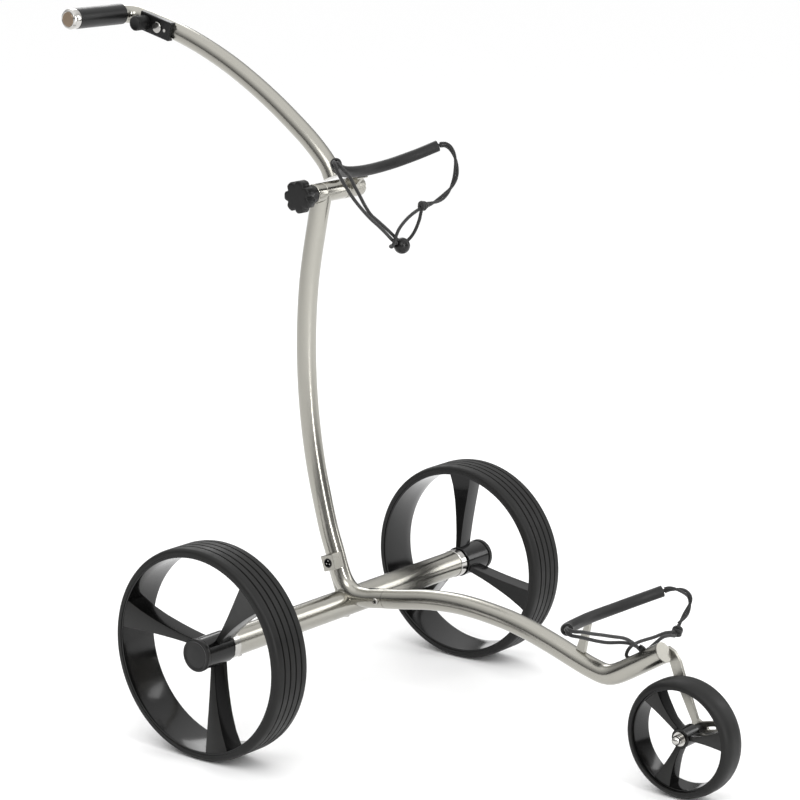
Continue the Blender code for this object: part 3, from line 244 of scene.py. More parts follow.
def lathe_grain(mesh, centre):
    """Store turning marks' coordinates: radius and distance along X, the same all round."""
    store = mesh.attributes.new("grain", "FLOAT_VECTOR", "POINT")
    for v in mesh.vertices:
        off = v.co - centre
        store.data[v.index].vector = (off.x, Vector((off.y, off.z)).length, 0)


def tube(name, points, radius, sides=40, wall=0.0, caps=True):
    """A smooth round bar or pipe along points."""
    curve = bpy.data.curves.new(name, "CURVE")
    curve.dimensions = "3D"
    curve.bevel_depth = radius
    curve.bevel_resolution = (sides - 4) // 2
    curve.use_fill_caps = caps and not wall
    line = curve.splines.new("POLY")
    line.points.add(len(points) - 1)
    for point, place in zip(line.points, points):
        point.co = (*place, 1)
    shaper = bpy.data.objects.new(name + "_shape", curve)
    bpy.context.collection.objects.link(shaper)
    bpy.context.view_layer.update()
    made = bpy.data.meshes.new_from_object(
        shaper.evaluated_get(bpy.context.evaluated_depsgraph_get()))
    bpy.data.objects.remove(shaper)
    bm = bmesh.new()
    bm.from_mesh(made)
    bmesh.ops.remove_doubles(bm, verts=bm.verts, dist=0.000001)
    bmesh.ops.recalc_face_normals(bm, faces=bm.faces)
    if wall:
        bmesh.ops.solidify(bm, geom=bm.faces[:], thickness=wall)
        bmesh.ops.recalc_face_normals(bm, faces=bm.faces)
    mesh = done(bm, name)
    lay_grain(mesh, points)
    return mesh


def done(bm, name):
    mesh = bpy.data.meshes.new(name)
    bm.to_mesh(mesh)
    bm.free()
    return mesh


def turned(name, outline, centre, sides=96, closed=False, axis=None):
    """Spin an outline of (along X, radius) points a full turn."""
    bm = bmesh.new()
    points = [bm.verts.new((along, 0, radius)) for along, radius in outline]
    pairs = list(zip(points, points[1:])) + ([(points[-1], points[0])] if closed else [])
    edges = [bm.edges.new(pair) for pair in pairs if pair[0].co.z > 0 or pair[1].co.z > 0]
    bmesh.ops.spin(bm, geom=points + edges, cent=(0, 0, 0), axis=(1, 0, 0), angle=2 * pi,
                   steps=sides, use_merge=True)
    bmesh.ops.remove_doubles(bm, verts=bm.verts, dist=0.000001)
    bmesh.ops.recalc_face_normals(bm, faces=bm.faces)
    mesh = done(bm, name)
    lathe_grain(mesh, Vector((0, 0, 0)))
    if axis is not None:
        mesh.transform(Vector((1, 0, 0)).rotation_difference(axis).to_matrix().to_4x4())
    mesh.transform(Matrix.Translation(centre))
    return mesh


def rounded(outline, radius, steps=3):
    """Round the corners of an outline of (a, b) points, leaving its two ends."""
    points = [Vector(p) for p in outline]
    result = [tuple(points[0])]
    for before, here, after in zip(points, points[1:], points[2:]):
        cut = min(radius, (before - here).length * 0.45, (after - here).length * 0.45)
        start = here + (before - here).normalized() * cut
        end = here + (after - here).normalized() * cut
        for i in range(steps + 1):
            t = i / steps
            result.append(tuple(start * (1 - t) ** 2 + here * 2 * t * (1 - t) + end * t * t))
    return result + [tuple(points[-1])]


def plate(name, outline, x0, x1):
    """Extrude an outline of (back, height) points between two x values."""
    bm = bmesh.new()
    face = bm.faces.new([bm.verts.new(at(x0, back, height)) for back, height in outline])
    wall = bmesh.ops.extrude_face_region(bm, geom=[face])
    moved = [item for item in wall["geom"] if isinstance(item, bmesh.types.BMVert)]
    bmesh.ops.translate(bm, verts=moved, vec=(x1 - x0, 0, 0))
    bmesh.ops.recalc_face_normals(bm, faces=bm.faces)
    return done(bm, name)


def block(name, size, centre, tilt=0.0, bevel=0.001, segments=3):
    """A box turned by tilt about X, with rounded edges."""
    bm = bmesh.new()
    bmesh.ops.create_cube(bm, size=1)
    bmesh.ops.scale(bm, vec=size, verts=bm.verts)
    bmesh.ops.bevel(bm, geom=list(bm.edges), offset=bevel, segments=segments, profile=0.5,
                    affect="EDGES", material=-1)
    bmesh.ops.rotate(bm, verts=bm.verts, matrix=Matrix.Rotation(tilt, 3, "X"))
    bmesh.ops.translate(bm, verts=bm.verts, vec=centre)
    return done(bm, name)


def merged(name, meshes):
    """Several meshes as one, keeping their grain."""
    bm = bmesh.new()
    for mesh in meshes:
        bm.from_mesh(mesh)
    return done(bm, name)


def put(name, mesh, body, slot, *materials, stands_for=(), sharp=32, bevel=0.0):
    """Place a finished mesh as a piece of a body, standing for its solids."""
    for material in materials:
        mesh.materials.append(material)
    mesh.shade_smooth()
    mesh.set_sharp_from_angle(angle=radians(sharp))
    item = bpy.data.objects.new(name, mesh)
    bpy.context.collection.objects.link(item)
    if bevel:
        soften = item.modifiers.new("soften", "BEVEL")
        soften.width = bevel
        soften.segments = 2
        soften.limit_method = "ANGLE"
        soften.angle_limit = radians(40)
    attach(item, body)
    if stands_for:
        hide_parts(*stands_for)
    return item


def cut_with(item, mesh):
    """Cut a piece with a closed mesh for good, so nothing is left live."""
    cutter = bpy.data.objects.new(item.name + "_cutter", mesh)
    bpy.context.collection.objects.link(cutter)
    step = item.modifiers.new("cut", "BOOLEAN")
    step.operation = "DIFFERENCE"
    step.object = cutter
    bpy.context.view_layer.update()
    shaped = bpy.data.meshes.new_from_object(
        item.evaluated_get(bpy.context.evaluated_depsgraph_get()))
    item.modifiers.clear()
    item.data = shaped
    bpy.data.objects.remove(cutter)
    shaped.set_sharp_from_angle(angle=radians(32))


# ---- materials ----

def group(name, inputs, outputs):
    """A shader node group with named sockets, and the ends to wire inside it."""
    tree = bpy.data.node_groups.new(name, "ShaderNodeTree")
    for label, kind, value in inputs:
        socket = tree.interface.new_socket(label, in_out="INPUT", socket_type=kind)
        if value is not None:
            socket.default_value = value
    for label, kind in outputs:
        tree.interface.new_socket(label, in_out="OUTPUT", socket_type=kind)
    return tree, tree.nodes.new("NodeGroupInput"), tree.nodes.new("NodeGroupOutput")


def math_node(tree, operation, a, b=None, clamp=False):
    node = tree.nodes.new("ShaderNodeMath")
    node.operation = operation
    node.use_clamp = clamp
    for socket, value in zip(node.inputs, (a, b)):
        if isinstance(value, (int, float)):
            socket.default_value = value
        elif value is not None:
            tree.links.new(value, socket)
    return node.outputs[0]


def noise_node(tree, vector, scale, detail=3.0, rough=0.55):
    node = tree.nodes.new("ShaderNodeTexNoise")
    node.inputs["Detail"].default_value = detail
    node.inputs["Roughness"].default_value = rough
    tree.links.new(vector, node.inputs["Vector"])
    if isinstance(scale, (int, float)):
        node.inputs["Scale"].default_value = scale
    else:
        tree.links.new(scale, node.inputs["Scale"])
    return node.outputs["Fac"]


def range_node(tree, value, low, high, to_low, to_high):
    node = tree.nodes.new("ShaderNodeMapRange")
    tree.links.new(value, node.inputs["Value"])
    for socket, number in zip(("From Min", "From Max", "To Min", "To Max"),
                              (low, high, to_low, to_high)):
        if isinstance(number, (int, float)):
            node.inputs[socket].default_value = number
        else:
            tree.links.new(number, node.inputs[socket])
    return node.outputs["Result"]


def brushed_group():
    """Fine scratches that run with a tube, and slow cloudy variation over them."""
    tree, given, out = group("Brushed Grain", [
        ("Vector", "NodeSocketVector", None), ("Stretch", "NodeSocketFloat", 0.03),
        ("Smoothest", "NodeSocketFloat", 0.2), ("Roughest", "NodeSocketFloat", 0.4)],
        [("Roughness", "NodeSocketFloat"), ("Tint", "NodeSocketFloat"),
         ("Height", "NodeSocketFloat")])
    split = tree.nodes.new("ShaderNodeSeparateXYZ")
    tree.links.new(given.outputs["Vector"], split.inputs[0])
    join = tree.nodes.new("ShaderNodeCombineXYZ")
    tree.links.new(split.outputs[0], join.inputs[0])
    tree.links.new(split.outputs[1], join.inputs[1])
    tree.links.new(math_node(tree, "MULTIPLY", split.outputs[2], given.outputs["Stretch"]),
                   join.inputs[2])
    fine = noise_node(tree, join.outputs[0], 2600.0, 4.0, 0.6)
    cloud = noise_node(tree, given.outputs["Vector"], 18.0, 2.0)
    mixed = math_node(tree, "ADD", math_node(tree, "MULTIPLY", fine, 0.85),
                      math_node(tree, "MULTIPLY", cloud, 0.15))
    tree.links.new(range_node(tree, mixed, 0.3, 0.7, given.outputs["Smoothest"],
                              given.outputs["Roughest"]), out.inputs["Roughness"])
    tree.links.new(range_node(tree, mixed, 0.25, 0.75, 0.92, 1.06), out.inputs["Tint"])
    tree.links.new(fine, out.inputs["Height"])
    return tree


def skin_group():
    """Moulded surface: fine pebble grain with slow wear in its gloss."""
    tree, given, out = group("Moulded Skin", [
        ("Vector", "NodeSocketVector", None), ("Grain", "NodeSocketFloat", 900.0),
        ("Smoothest", "NodeSocketFloat", 0.35), ("Roughest", "NodeSocketFloat", 0.55)],
        [("Roughness", "NodeSocketFloat"), ("Tint", "NodeSocketFloat"),
         ("Height", "NodeSocketFloat")])
    pebble = noise_node(tree, given.outputs["Vector"], given.outputs["Grain"], 2.0)
    cloud = noise_node(tree, given.outputs["Vector"], 28.0, 4.0, 0.6)
    tree.links.new(range_node(tree, cloud, 0.3, 0.7, given.outputs["Smoothest"],
                              given.outputs["Roughest"]), out.inputs["Roughness"])
    tree.links.new(range_node(tree, cloud, 0.3, 0.75, 0.85, 1.25), out.inputs["Tint"])
    tree.links.new(pebble, out.inputs["Height"])
    return tree


def braid_group():
    """Crossing strands of a braided sheath, from (across, across, along), with painted shade in the
    grooves and painted highlight on the strand tops.
    """
    tree, given, out = group("Braid", [
        ("Vector", "NodeSocketVector", None), ("Strands", "NodeSocketFloat", 6.0),
        ("Pitch", "NodeSocketFloat", 2200.0)],
        [("Height", "NodeSocketFloat"), ("Tint", "NodeSocketFloat")])
    split = tree.nodes.new("ShaderNodeSeparateXYZ")
    tree.links.new(given.outputs["Vector"], split.inputs[0])
    angle = math_node(tree, "MULTIPLY",
                      math_node(tree, "ARCTAN2", split.outputs[1], split.outputs[0]),
                      given.outputs["Strands"])
    run = math_node(tree, "MULTIPLY", split.outputs[2], given.outputs["Pitch"])
    left = math_node(tree, "ABSOLUTE", math_node(tree, "SINE", math_node(tree, "ADD", angle, run)))
    right = math_node(tree, "ABSOLUTE",
                      math_node(tree, "SINE", math_node(tree, "SUBTRACT", angle, run)))
    top = math_node(tree, "MAXIMUM", left, right)
    tree.links.new(top, out.inputs["Height"])
    # tint follows the strand height: painted shade darkens the grooves between strands, painted
    # highlight lightens their tops
    tree.links.new(range_node(tree, top, 0.4, 1.0, 0.55, 1.35), out.inputs["Tint"])
    return tree


def finish(name, colour, roughness, metallic=0.0, coat=0.0, effect=None, source="Object",
           bump=0.0, bump_size=0.0002, values=None, sheen=0.0, anisotropy=0.0, specular=0.5):
    """A Principled material whose tint, gloss and relief come from a shared effect."""
    material = bpy.data.materials.new(name)
    material.use_nodes = True
    tree = material.node_tree
    shader = tree.nodes["Principled BSDF"]
    shader.inputs["Base Color"].default_value = (*colour, 1)
    shader.inputs["Roughness"].default_value = roughness
    shader.inputs["Metallic"].default_value = metallic
    shader.inputs["Coat Weight"].default_value = coat
    shader.inputs["Coat Roughness"].default_value = 0.08
    shader.inputs["Sheen Weight"].default_value = sheen
    shader.inputs["Anisotropic"].default_value = anisotropy
    shader.inputs["Specular IOR Level"].default_value = specular
    material.diffuse_color = (*colour, 1)
    if effect is None:
        return material
    node = tree.nodes.new("ShaderNodeGroup")
    node.node_tree = effect
    for label, value in (values or {}).items():
        node.inputs[label].default_value = value
    if source == "Object":
        coords = tree.nodes.new("ShaderNodeTexCoord").outputs["Object"]
    else:
        read = tree.nodes.new("ShaderNodeAttribute")
        read.attribute_name = source
        coords = read.outputs["Vector"]
    tree.links.new(coords, node.inputs["Vector"])
    if "Roughness" in node.outputs:
        tree.links.new(node.outputs["Roughness"], shader.inputs["Roughness"])
    scale = tree.nodes.new("ShaderNodeVectorMath")
    scale.operation = "SCALE"
    scale.inputs[0].default_value = colour
    tree.links.new(node.outputs["Tint"], scale.inputs["Scale"])
    tree.links.new(scale.outputs[0], shader.inputs["Base Color"])
    if bump:
        relief = tree.nodes.new("ShaderNodeBump")
        relief.inputs["Strength"].default_value = bump
        relief.inputs["Distance"].default_value = bump_size
        tree.links.new(node.outputs["Height"], relief.inputs["Height"])
        tree.links.new(relief.outputs["Normal"], shader.inputs["Normal"])
    return material


FINISHES = {}


def paint(key):
    """Each finish is made once, from the chosen colours."""
    if not FINISHES:
        pick = colours()
        brushed, skin, braid = brushed_group(), skin_group(), braid_group()
        FINISHES.update({
            "steel": finish("brushed_stainless", pick.steel, 0.3, 1.0, effect=brushed,
                            source="grain", bump=0.12, bump_size=0.0001,
                            values={"Smoothest": 0.16, "Roughest": 0.27}),
            "plate": finish("brushed_plate", pick.steel, 0.3, 1.0, effect=brushed, bump=0.1,
                            bump_size=0.0001, values={"Smoothest": 0.24, "Roughest": 0.40}),
            "bright": finish("bright_steel", pick.bright, 0.14, 1.0, effect=brushed,
                             values={"Smoothest": 0.08, "Roughest": 0.20}),
            "bronze": finish("badge_disc", pick.bronze, 0.35, 1.0, effect=brushed,
                             values={"Smoothest": 0.25, "Roughest": 0.45}),
            "tyre": finish("tyre_rubber", pick.tyre, 0.6, effect=skin, bump=0.25, specular=0.28,
                           values={"Smoothest": 0.42, "Roughest": 0.62}),
            "rim": finish("gloss_rim", pick.rim, 0.16, coat=0.12, effect=skin, bump=0.02,
                          specular=0.25,
                          values={"Grain": 300.0, "Smoothest": 0.12, "Roughest": 0.22}),
            "spoke": finish("satin_spoke", pick.spoke, 0.45, effect=skin, bump=0.10, specular=0.35,
                            values={"Grain": 1600.0, "Smoothest": 0.38, "Roughest": 0.50}),
            "plastic": finish("moulded_plastic", pick.plastic, 0.4, effect=skin, bump=0.10,
                              specular=0.35,
                              values={"Grain": 1500.0, "Smoothest": 0.30, "Roughest": 0.44}),
            "sleeve": finish("sleeve_rubber", pick.sleeve, 0.5, effect=skin, bump=0.22,
                             specular=0.35,
                             values={"Grain": 700.0, "Smoothest": 0.40, "Roughest": 0.58}),
            "cord": finish("braided_cord", pick.cord, 0.7, effect=braid, source="grain",
                           bump=0.8, bump_size=0.0003, sheen=0.15),
            # painted shade: a near-black finish that stands for the shade inside gaps and recesses
            "dark": finish("painted_shade_black", (0.004, 0.004, 0.004), 0.8),
        })
    return FINISHES[key]


# ---- fixed sizes shared with the solids ----
TUBE, STEM_WALL = 0.0137, 0.0015      # stem radius and wall
LEG_TUBE = 0.0140
SPIGOT, SPIGOT_LENGTH = 0.0112, 0.028
AXLE_TUBE, AXLE_HALF = 0.0190, 0.2427
BEND = 0.0225                # handle corner's radius
KNOB_LOBES, LOBE_STEPS = 7, 16
BALL, DIAL = 0.0113, 0.0105
HANDLE_TUBE = 0.0131
BARREL = 0.0136              # hinge barrel radius
SLEEVE = 0.0078
WHEEL = 0.145
TRACK = 0.283
TYRE_HALF = 0.031
RIM_OUT, RIM_IN = 0.1349, 0.1319
HUB_IN, HUB_OUT, HUB = 0.2575, 0.3055, 0.0215
SPIN_GAP = 0.0006
FRONT_HALF, FRONT_R = 0.020, 0.079
FRONT_RIM_OUT, FRONT_RIM_IN = 0.068, 0.0652
KNOB_FACE = -0.0226
BALL_AT = (0.0675, -0.0460, 0.6470)
UPPER_KNOT_AT = (0.1130, -0.0460, 0.6965)
LOWER_KNOT_AT = (0.1190, -0.4735, 0.1650)
SIDES = (("left", -1, 45), ("right", 1, 97))


def repaint(key, *nodes):
    """Give solids whose shape is right a better finish."""
    for node in nodes:
        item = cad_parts[node]
        for place in item.material_slots:
            place.material = paint(key)


def mirrored(outline, side):
    return [(side * x, r) for x, r in outline]


def loft(name, rings):
    """Bridge a run of closed rings of points and cap both ends."""
    bm = bmesh.new()
    loops = []
    for ring in rings:
        verts = [bm.verts.new(p) for p in ring]
        loops.append([bm.edges.new((a, b)) for a, b in zip(verts, verts[1:] + verts[:1])])
    for ring, following in zip(loops, loops[1:]):
        bmesh.ops.bridge_loops(bm, edges=ring + following)
    for ring in (loops[0], loops[-1]):
        bmesh.ops.contextual_create(bm, geom=ring)
    bmesh.ops.recalc_face_normals(bm, faces=bm.faces)
    return done(bm, name)


def spoke(name, turn, side, centre, reach, widths, fronts, backs, count=16):
    """A spoke with softened front edges that leans out from the hub to the rim's face."""
    out = Vector((0, -cos(turn), sin(turn)))
    across = Vector((0, sin(turn), cos(turn)))
    marks = np.linspace(0, 1, len(fronts))
    rings = []
    for share in np.linspace(0, 1, count):
        half = (widths[0] + (widths[1] - widths[0]) * share ** 1.8) / 2
        front, back = np.interp(share, marks, fronts), np.interp(share, marks, backs)
        soft = min(0.0016, half * 0.4)
        middle = centre + out * (reach[0] + (reach[1] - reach[0]) * share)
        section = [(-half, back), (half, back), (half, front - soft), (half - soft * 0.3,
                   front - soft * 0.3), (half - soft, front), (-half + soft, front),
                   (-half + soft * 0.3, front - soft * 0.3), (-half, front - soft)]
        rings.append([middle + across * float(u) + Vector((side * float(x), 0, 0))
                      for u, x in section])
    return loft(name, rings)


def face_slots(mesh, side, first):
    """Faces that look outwards take the second material."""
    for face in mesh.polygons[first:]:
        face.material_index = 1 if face.normal.x * side > 0.55 else 0


def weld(name, points, radius, body):
    """A round bead laid along a joint."""
    mesh = tube(name, points, radius, 12)
    return put(name, mesh, body, "brushed_stainless", paint("steel"), sharp=60)


def ring_round(centre, radius, normal, count=48, start=0, sweep=2 * pi):
    """Points round a circle about a normal."""
    normal = normal.normalized()
    side = normal.orthogonal().normalized()
    third = normal.cross(side)
    return [centre + side * radius * cos(start + sweep * k / count)
            + third * radius * sin(start + sweep * k / count) for k in range(count + 1)]


def camera_and_light():
    studio = bpy.context.scene.trolley_studio
    lens = bpy.data.cameras.new("camera")
    lens.lens = studio.lens
    lens.sensor_width = 36
    camera = bpy.data.objects.new("camera", lens)
    bpy.context.collection.objects.link(camera)
    right, up, ahead = (Vector((0.6225, -0.7826, 0)), Vector((0.1748, 0.139, 0.9748)),
                        Vector((0.763, 0.607, -0.2233)))
    turn = Matrix((right.normalized(), up.normalized(), -ahead.normalized())).transposed()
    camera.matrix_world = Matrix.Translation((-2.9828, -2.35675, 1.3219)) @ turn.to_4x4()
    bpy.context.scene.camera = camera

    bm = bmesh.new()
    bmesh.ops.create_grid(bm, x_segments=1, y_segments=1, size=60)
    bmesh.ops.translate(bm, verts=bm.verts, vec=(0, 0, -0.0005))
    floor = bpy.data.objects.new("floor", done(bm, "floor"))
    bpy.context.collection.objects.link(floor)
    floor.data.materials.append(finish("studio_floor", studio.floor, 0.85))

    world = bpy.data.worlds.new("studio")
    world.use_nodes = True
    bpy.context.scene.world = world
    tree = world.node_tree
    tree.nodes["Background"].inputs["Strength"].default_value = studio.sky
    coords = tree.nodes.new("ShaderNodeTexCoord").outputs["Generated"]
    split = tree.nodes.new("ShaderNodeSeparateXYZ")
    tree.links.new(coords, split.inputs[0])
    ramp = tree.nodes.new("ShaderNodeValToRGB")
    ramp.color_ramp.elements[0].position = 0.05
    ramp.color_ramp.elements[0].color = (0.05, 0.05, 0.05, 1)
    ramp.color_ramp.elements[1].position = 0.85
    ramp.color_ramp.elements[1].color = (1, 1, 1, 1)
    tree.links.new(split.outputs[2], ramp.inputs[0])
    seen = tree.nodes.new("ShaderNodeLightPath")
    mix = tree.nodes.new("ShaderNodeMix")
    mix.data_type = "RGBA"
    for socket in mix.inputs:
        if socket.name == "A" and socket.type == "RGBA":
            tree.links.new(ramp.outputs[0], socket)
        if socket.name == "B" and socket.type == "RGBA":
            socket.default_value = (1, 1, 1, 1)
    tree.links.new(seen.outputs["Is Camera Ray"], mix.inputs[0])
    result = [socket for socket in mix.outputs if socket.type == "RGBA"][0]
    tree.links.new(result, tree.nodes["Background"].inputs["Color"])

    for name, place, size, power in (("key", (-2.2, -1.2, 2.6), (1.6, 1.6), studio.key),
                                     ("rim", (1.8, 2.2, 2.2), (1.0, 1.8), studio.key * 0.7),
                                     ("side", (2.4, -1.6, 1.4), (0.5, 2.0), studio.key * 0.5),
                                     ("strip", (-0.9, -3.1, 1.3), (0.16, 2.4), studio.key * 1.5)):
        light = bpy.data.lights.new(name, "AREA")
        light.shape = "RECTANGLE"
        light.size, light.size_y = size
        light.energy = power
        lamp = bpy.data.objects.new(name, light)
        bpy.context.collection.objects.link(lamp)
        aim = Vector((0, 0, 0.4)) - Vector(place)
        lamp.matrix_world = (Matrix.Translation(place)
                             @ aim.to_track_quat("-Z", "Y").to_matrix().to_4x4())
    bpy.context.scene.view_settings.view_transform = "Standard"


def support_line(level):
    """Points along a bag support, from its left mouth to its right one."""
    half, middle = SUPPORTS[level]
    right = [at(middle + x, back, height) for x, back, height in half]
    left = [at(middle - x, back, height) for x, back, height in half]
    return smooth(list(reversed(left)) + right[1:], 0.005)


def twisted(points, offset, turns):
    """Two strands that wind slowly round a shared line."""
    along, ahead, sides = run_frames(points)
    strands = []
    for start in (0, pi):
        strand = []
        for place, s, head, side in zip(points, along, ahead, sides):
            turn = start + 2 * pi * turns * s / along[-1]
            strand.append(place + (side * cos(turn) + head.cross(side) * sin(turn)) * offset)
        strands.append(strand)
    return strands


def free_cord(node, body, double=False):
    """An elastic strand, or two twisted together, along its own route."""
    points = smooth([at(*p) for p in CORDS[node]], 0.0025)
    radius = sizes().cord_thickness / 2
    if double:
        thin = radius * 0.85
        mesh = merged(node + "_braid", [tube(node + "_strand", strand, thin, 20)
                                        for strand in twisted(points, thin * 1.02, 1.5)])
        width = 2 * thin * 2.02
    else:
        mesh, width = tube(node + "_braid", points, radius, 20), 2 * radius
    item = put(node + "_braid", mesh, body, "cord", paint("cord"), stands_for=[node], sharp=60)


def knot(name, place, body, node, axis, tails):
    """A tied knot: fat turns of cord pulled into a lump, with the strands running into it."""
    centre = at(*place)
    lean = Vector(axis).normalized()
    across = lean.orthogonal().normalized()
    turns = []
    for k, (shift, tip) in enumerate(((0.0, 0.0), (0.0024, 0.7), (-0.0024, -0.8), (0.0008, 1.6))):
        turns.append(tube("%s_%d" % (name, k), ring_round(centre + lean * shift, 0.0048,
                                                         lean + across * tip), 0.0026, 16))
    for k, end in enumerate(tails):
        turns.append(tube("%s_tail_%d" % (name, k), smooth([centre, centre.lerp(at(*end), 0.5),
                                                           at(*end)], 0.002), 0.0023, 16))
    put(name, merged(name, turns), body, "cord", paint("cord"), stands_for=[node], sharp=60)


def cord_roots(name, ends, mouth, inwards, body):
    """Strands that run from a sleeve's mouth out to where the free cords start."""
    parts = [tube("%s_%d" % (name, k), smooth([mouth + inwards * 0.0045, mouth + inwards * 0.001,
                                              mouth.lerp(at(*end), 0.6), at(*end)], 0.0015),
                  0.0022, 16) for k, end in enumerate(ends)]
    put(name, merged(name, parts), body, "cord", paint("cord"), sharp=60)


class TROLLEY_OT_studio(bpy.types.Operator):
    """Camera, floor and soft light"""
    bl_idname = "trolley.studio"
    bl_label = "Studio"

    def execute(self, context):
        camera_and_light()
        return {"FINISHED"}


class TROLLEY_OT_cords(bpy.types.Operator):
    """Elastic cords, their knots and the toggle ball"""
    bl_idname = "trolley.cords"
    bl_label = "Cords"

    def execute(self, context):
        for level, body in (("upper", "frame"), ("lower", "front_leg")):
            free_cord(level + "_cord_near_a", body)
            free_cord(level + "_cord_near_b", body)
            free_cord(level + "_loop_cord", body)
            free_cord(level + "_cord_far", body, double=True)
        for level, body in (("upper", "frame"), ("lower", "front_leg")):
            near = [CORDS[level + "_cord_near_" + k][0] for k in "ab"]
            for side, ends, turn in (("near", near, 0), ("far", [CORDS[level + "_cord_far"][-1]],
                                                        -1)):
                line = support_line(level)
                mouth, inner = line[turn], line[1 if turn == 0 else -2]
                cord_roots("%s_%s_roots" % (level, side), ends, mouth,
                           (inner - mouth).normalized(), body)
        tails = [CORDS["upper_loop_cord"][0], CORDS["upper_loop_cord"][-1],
                 CORDS["upper_cord_far"][0]]
        knot("upper_tied_knot", UPPER_KNOT_AT, "frame", "upper_knot", (1, 0, 0.3), tails)
        tails = [CORDS["lower_loop_cord"][0], CORDS["lower_loop_cord"][-1],
                 CORDS["lower_cord_far"][0]]
        knot("lower_tied_knot", LOWER_KNOT_AT, "front_leg", "lower_knot", (0.6, 0, 1), tails)
        ball = turned("toggle_ball_round",
                      [(BALL * -cos(pi * k / 40), BALL * sin(pi * k / 40)) for k in range(41)],
                      at(*BALL_AT), 64)
        put("toggle_ball_round", ball, "frame", "black_plastic", paint("plastic"),
            stands_for=["toggle_ball"], sharp=60)
        return {"FINISHED"}


class TROLLEY_OT_rear_wheels(bpy.types.Operator):
    """Grooved tyres, gloss rims with satin spokes and hub caps"""
    bl_idname = "trolley.rear_wheels"
    bl_label = "Rear Wheels"

    def execute(self, context):
        for label, side, first in SIDES:
            self.tyre(label, side)
            self.rim(label, side, first)
            self.cap(label, side)
        repaint("bright", "drive_shaft_left", "drive_shaft_right")
        return {"FINISHED"}

    def tyre(self, label, side):
        deep = sizes().groove_depth
        crown = []
        for x in np.linspace(-0.0165, 0.0165, 4):
            crown += [(x - 0.0013, WHEEL), (x - 0.0008, WHEEL - deep), (x + 0.0008, WHEEL - deep),
                      (x + 0.0013, WHEEL)]
        wall = [(TYRE_HALF, RIM_OUT + 0.0003), (TYRE_HALF, WHEEL - 0.0040),
                (TYRE_HALF - 0.0035, WHEEL - 0.0008), (TYRE_HALF - 0.0100, WHEEL)]
        wall = rounded(wall, 0.002)
        outline = [(-x, r) for x, r in wall] + [(float(x), float(r)) for x, r in crown]
        outline += list(reversed(wall))
        mesh = turned("tyre", outline, (side * TRACK, AXLE.y, AXLE.z), 144, closed=True)
        put("grooved_tyre_" + label, mesh, label + "_wheel", "tyre", paint("tyre"),
            stands_for=["tyre_" + label], sharp=28)

    def rim(self, label, side, first):
        centre = Vector((0, AXLE.y, AXLE.z))
        low, high = 0.2532, 0.3132
        barrel = [(low, RIM_IN), (low, RIM_OUT), (high, RIM_OUT), (high, RIM_IN + 0.0006),
                  (high - 0.0020, RIM_IN), (high - 0.016, RIM_IN - 0.0012), (low + 0.012,
                  RIM_IN - 0.0012)]
        hub = [(HUB_IN, 0.0063), (HUB_IN, HUB - 0.001), (HUB_IN + 0.001, HUB), (HUB_OUT - 0.001,
               HUB), (HUB_OUT, HUB - 0.001), (HUB_OUT, 0.0083), (HUB_OUT - 0.008, 0.0083),
               (HUB_OUT - 0.008, 0.0063)]
        round_parts = [turned("barrel", mirrored(barrel, side), centre, 144, closed=True),
                       turned("hub", mirrored(hub, side), centre, 64, closed=True)]
        count = sum(len(mesh.polygons) for mesh in round_parts)
        fronts = (0.285, 0.2925, 0.2990, 0.3048, 0.3095, 0.3128)
        backs = (0.261, 0.267, 0.2725, 0.278, 0.2820, 0.2828)
        spokes = [spoke("spoke", radians(first + 120 * k), side, centre, (HUB - 0.002,
                        RIM_IN + 0.0006), (0.0085, 0.041), fronts, backs) for k in range(3)]
        mesh = merged("rim", round_parts + spokes)
        face_slots(mesh, side, count)
        put("spoked_rim_" + label, mesh, label + "_wheel", "rim_black", paint("rim"),
            paint("spoke"), stands_for=["rim_" + label])

    def cap(self, label, side):
        start = HUB_OUT + SPIN_GAP
        end = start + 0.0070
        face = [(HUB_OUT - 0.0065, 0), (HUB_OUT - 0.0065, 0.0077), (start, 0.0077),
                (start, 0.0218), (start + 0.0006, 0.0225), (end - 0.0014, 0.0225),
                (end - 0.0004, 0.0219), (end, 0.0210), (end, 0.0192), (end - 0.0010, 0.0182),
                (end - 0.0013, 0.0176), (end - 0.0006, 0.0080), (end - 0.0005, 0)]
        mesh = turned("cap", mirrored(rounded(face, 0.0005), side), Vector((0, AXLE.y, AXLE.z)), 96)
        put("ringed_cap_" + label, mesh, label + "_cap", "black_plastic", paint("plastic"),
            stands_for=["hub_cap_" + label], sharp=40)


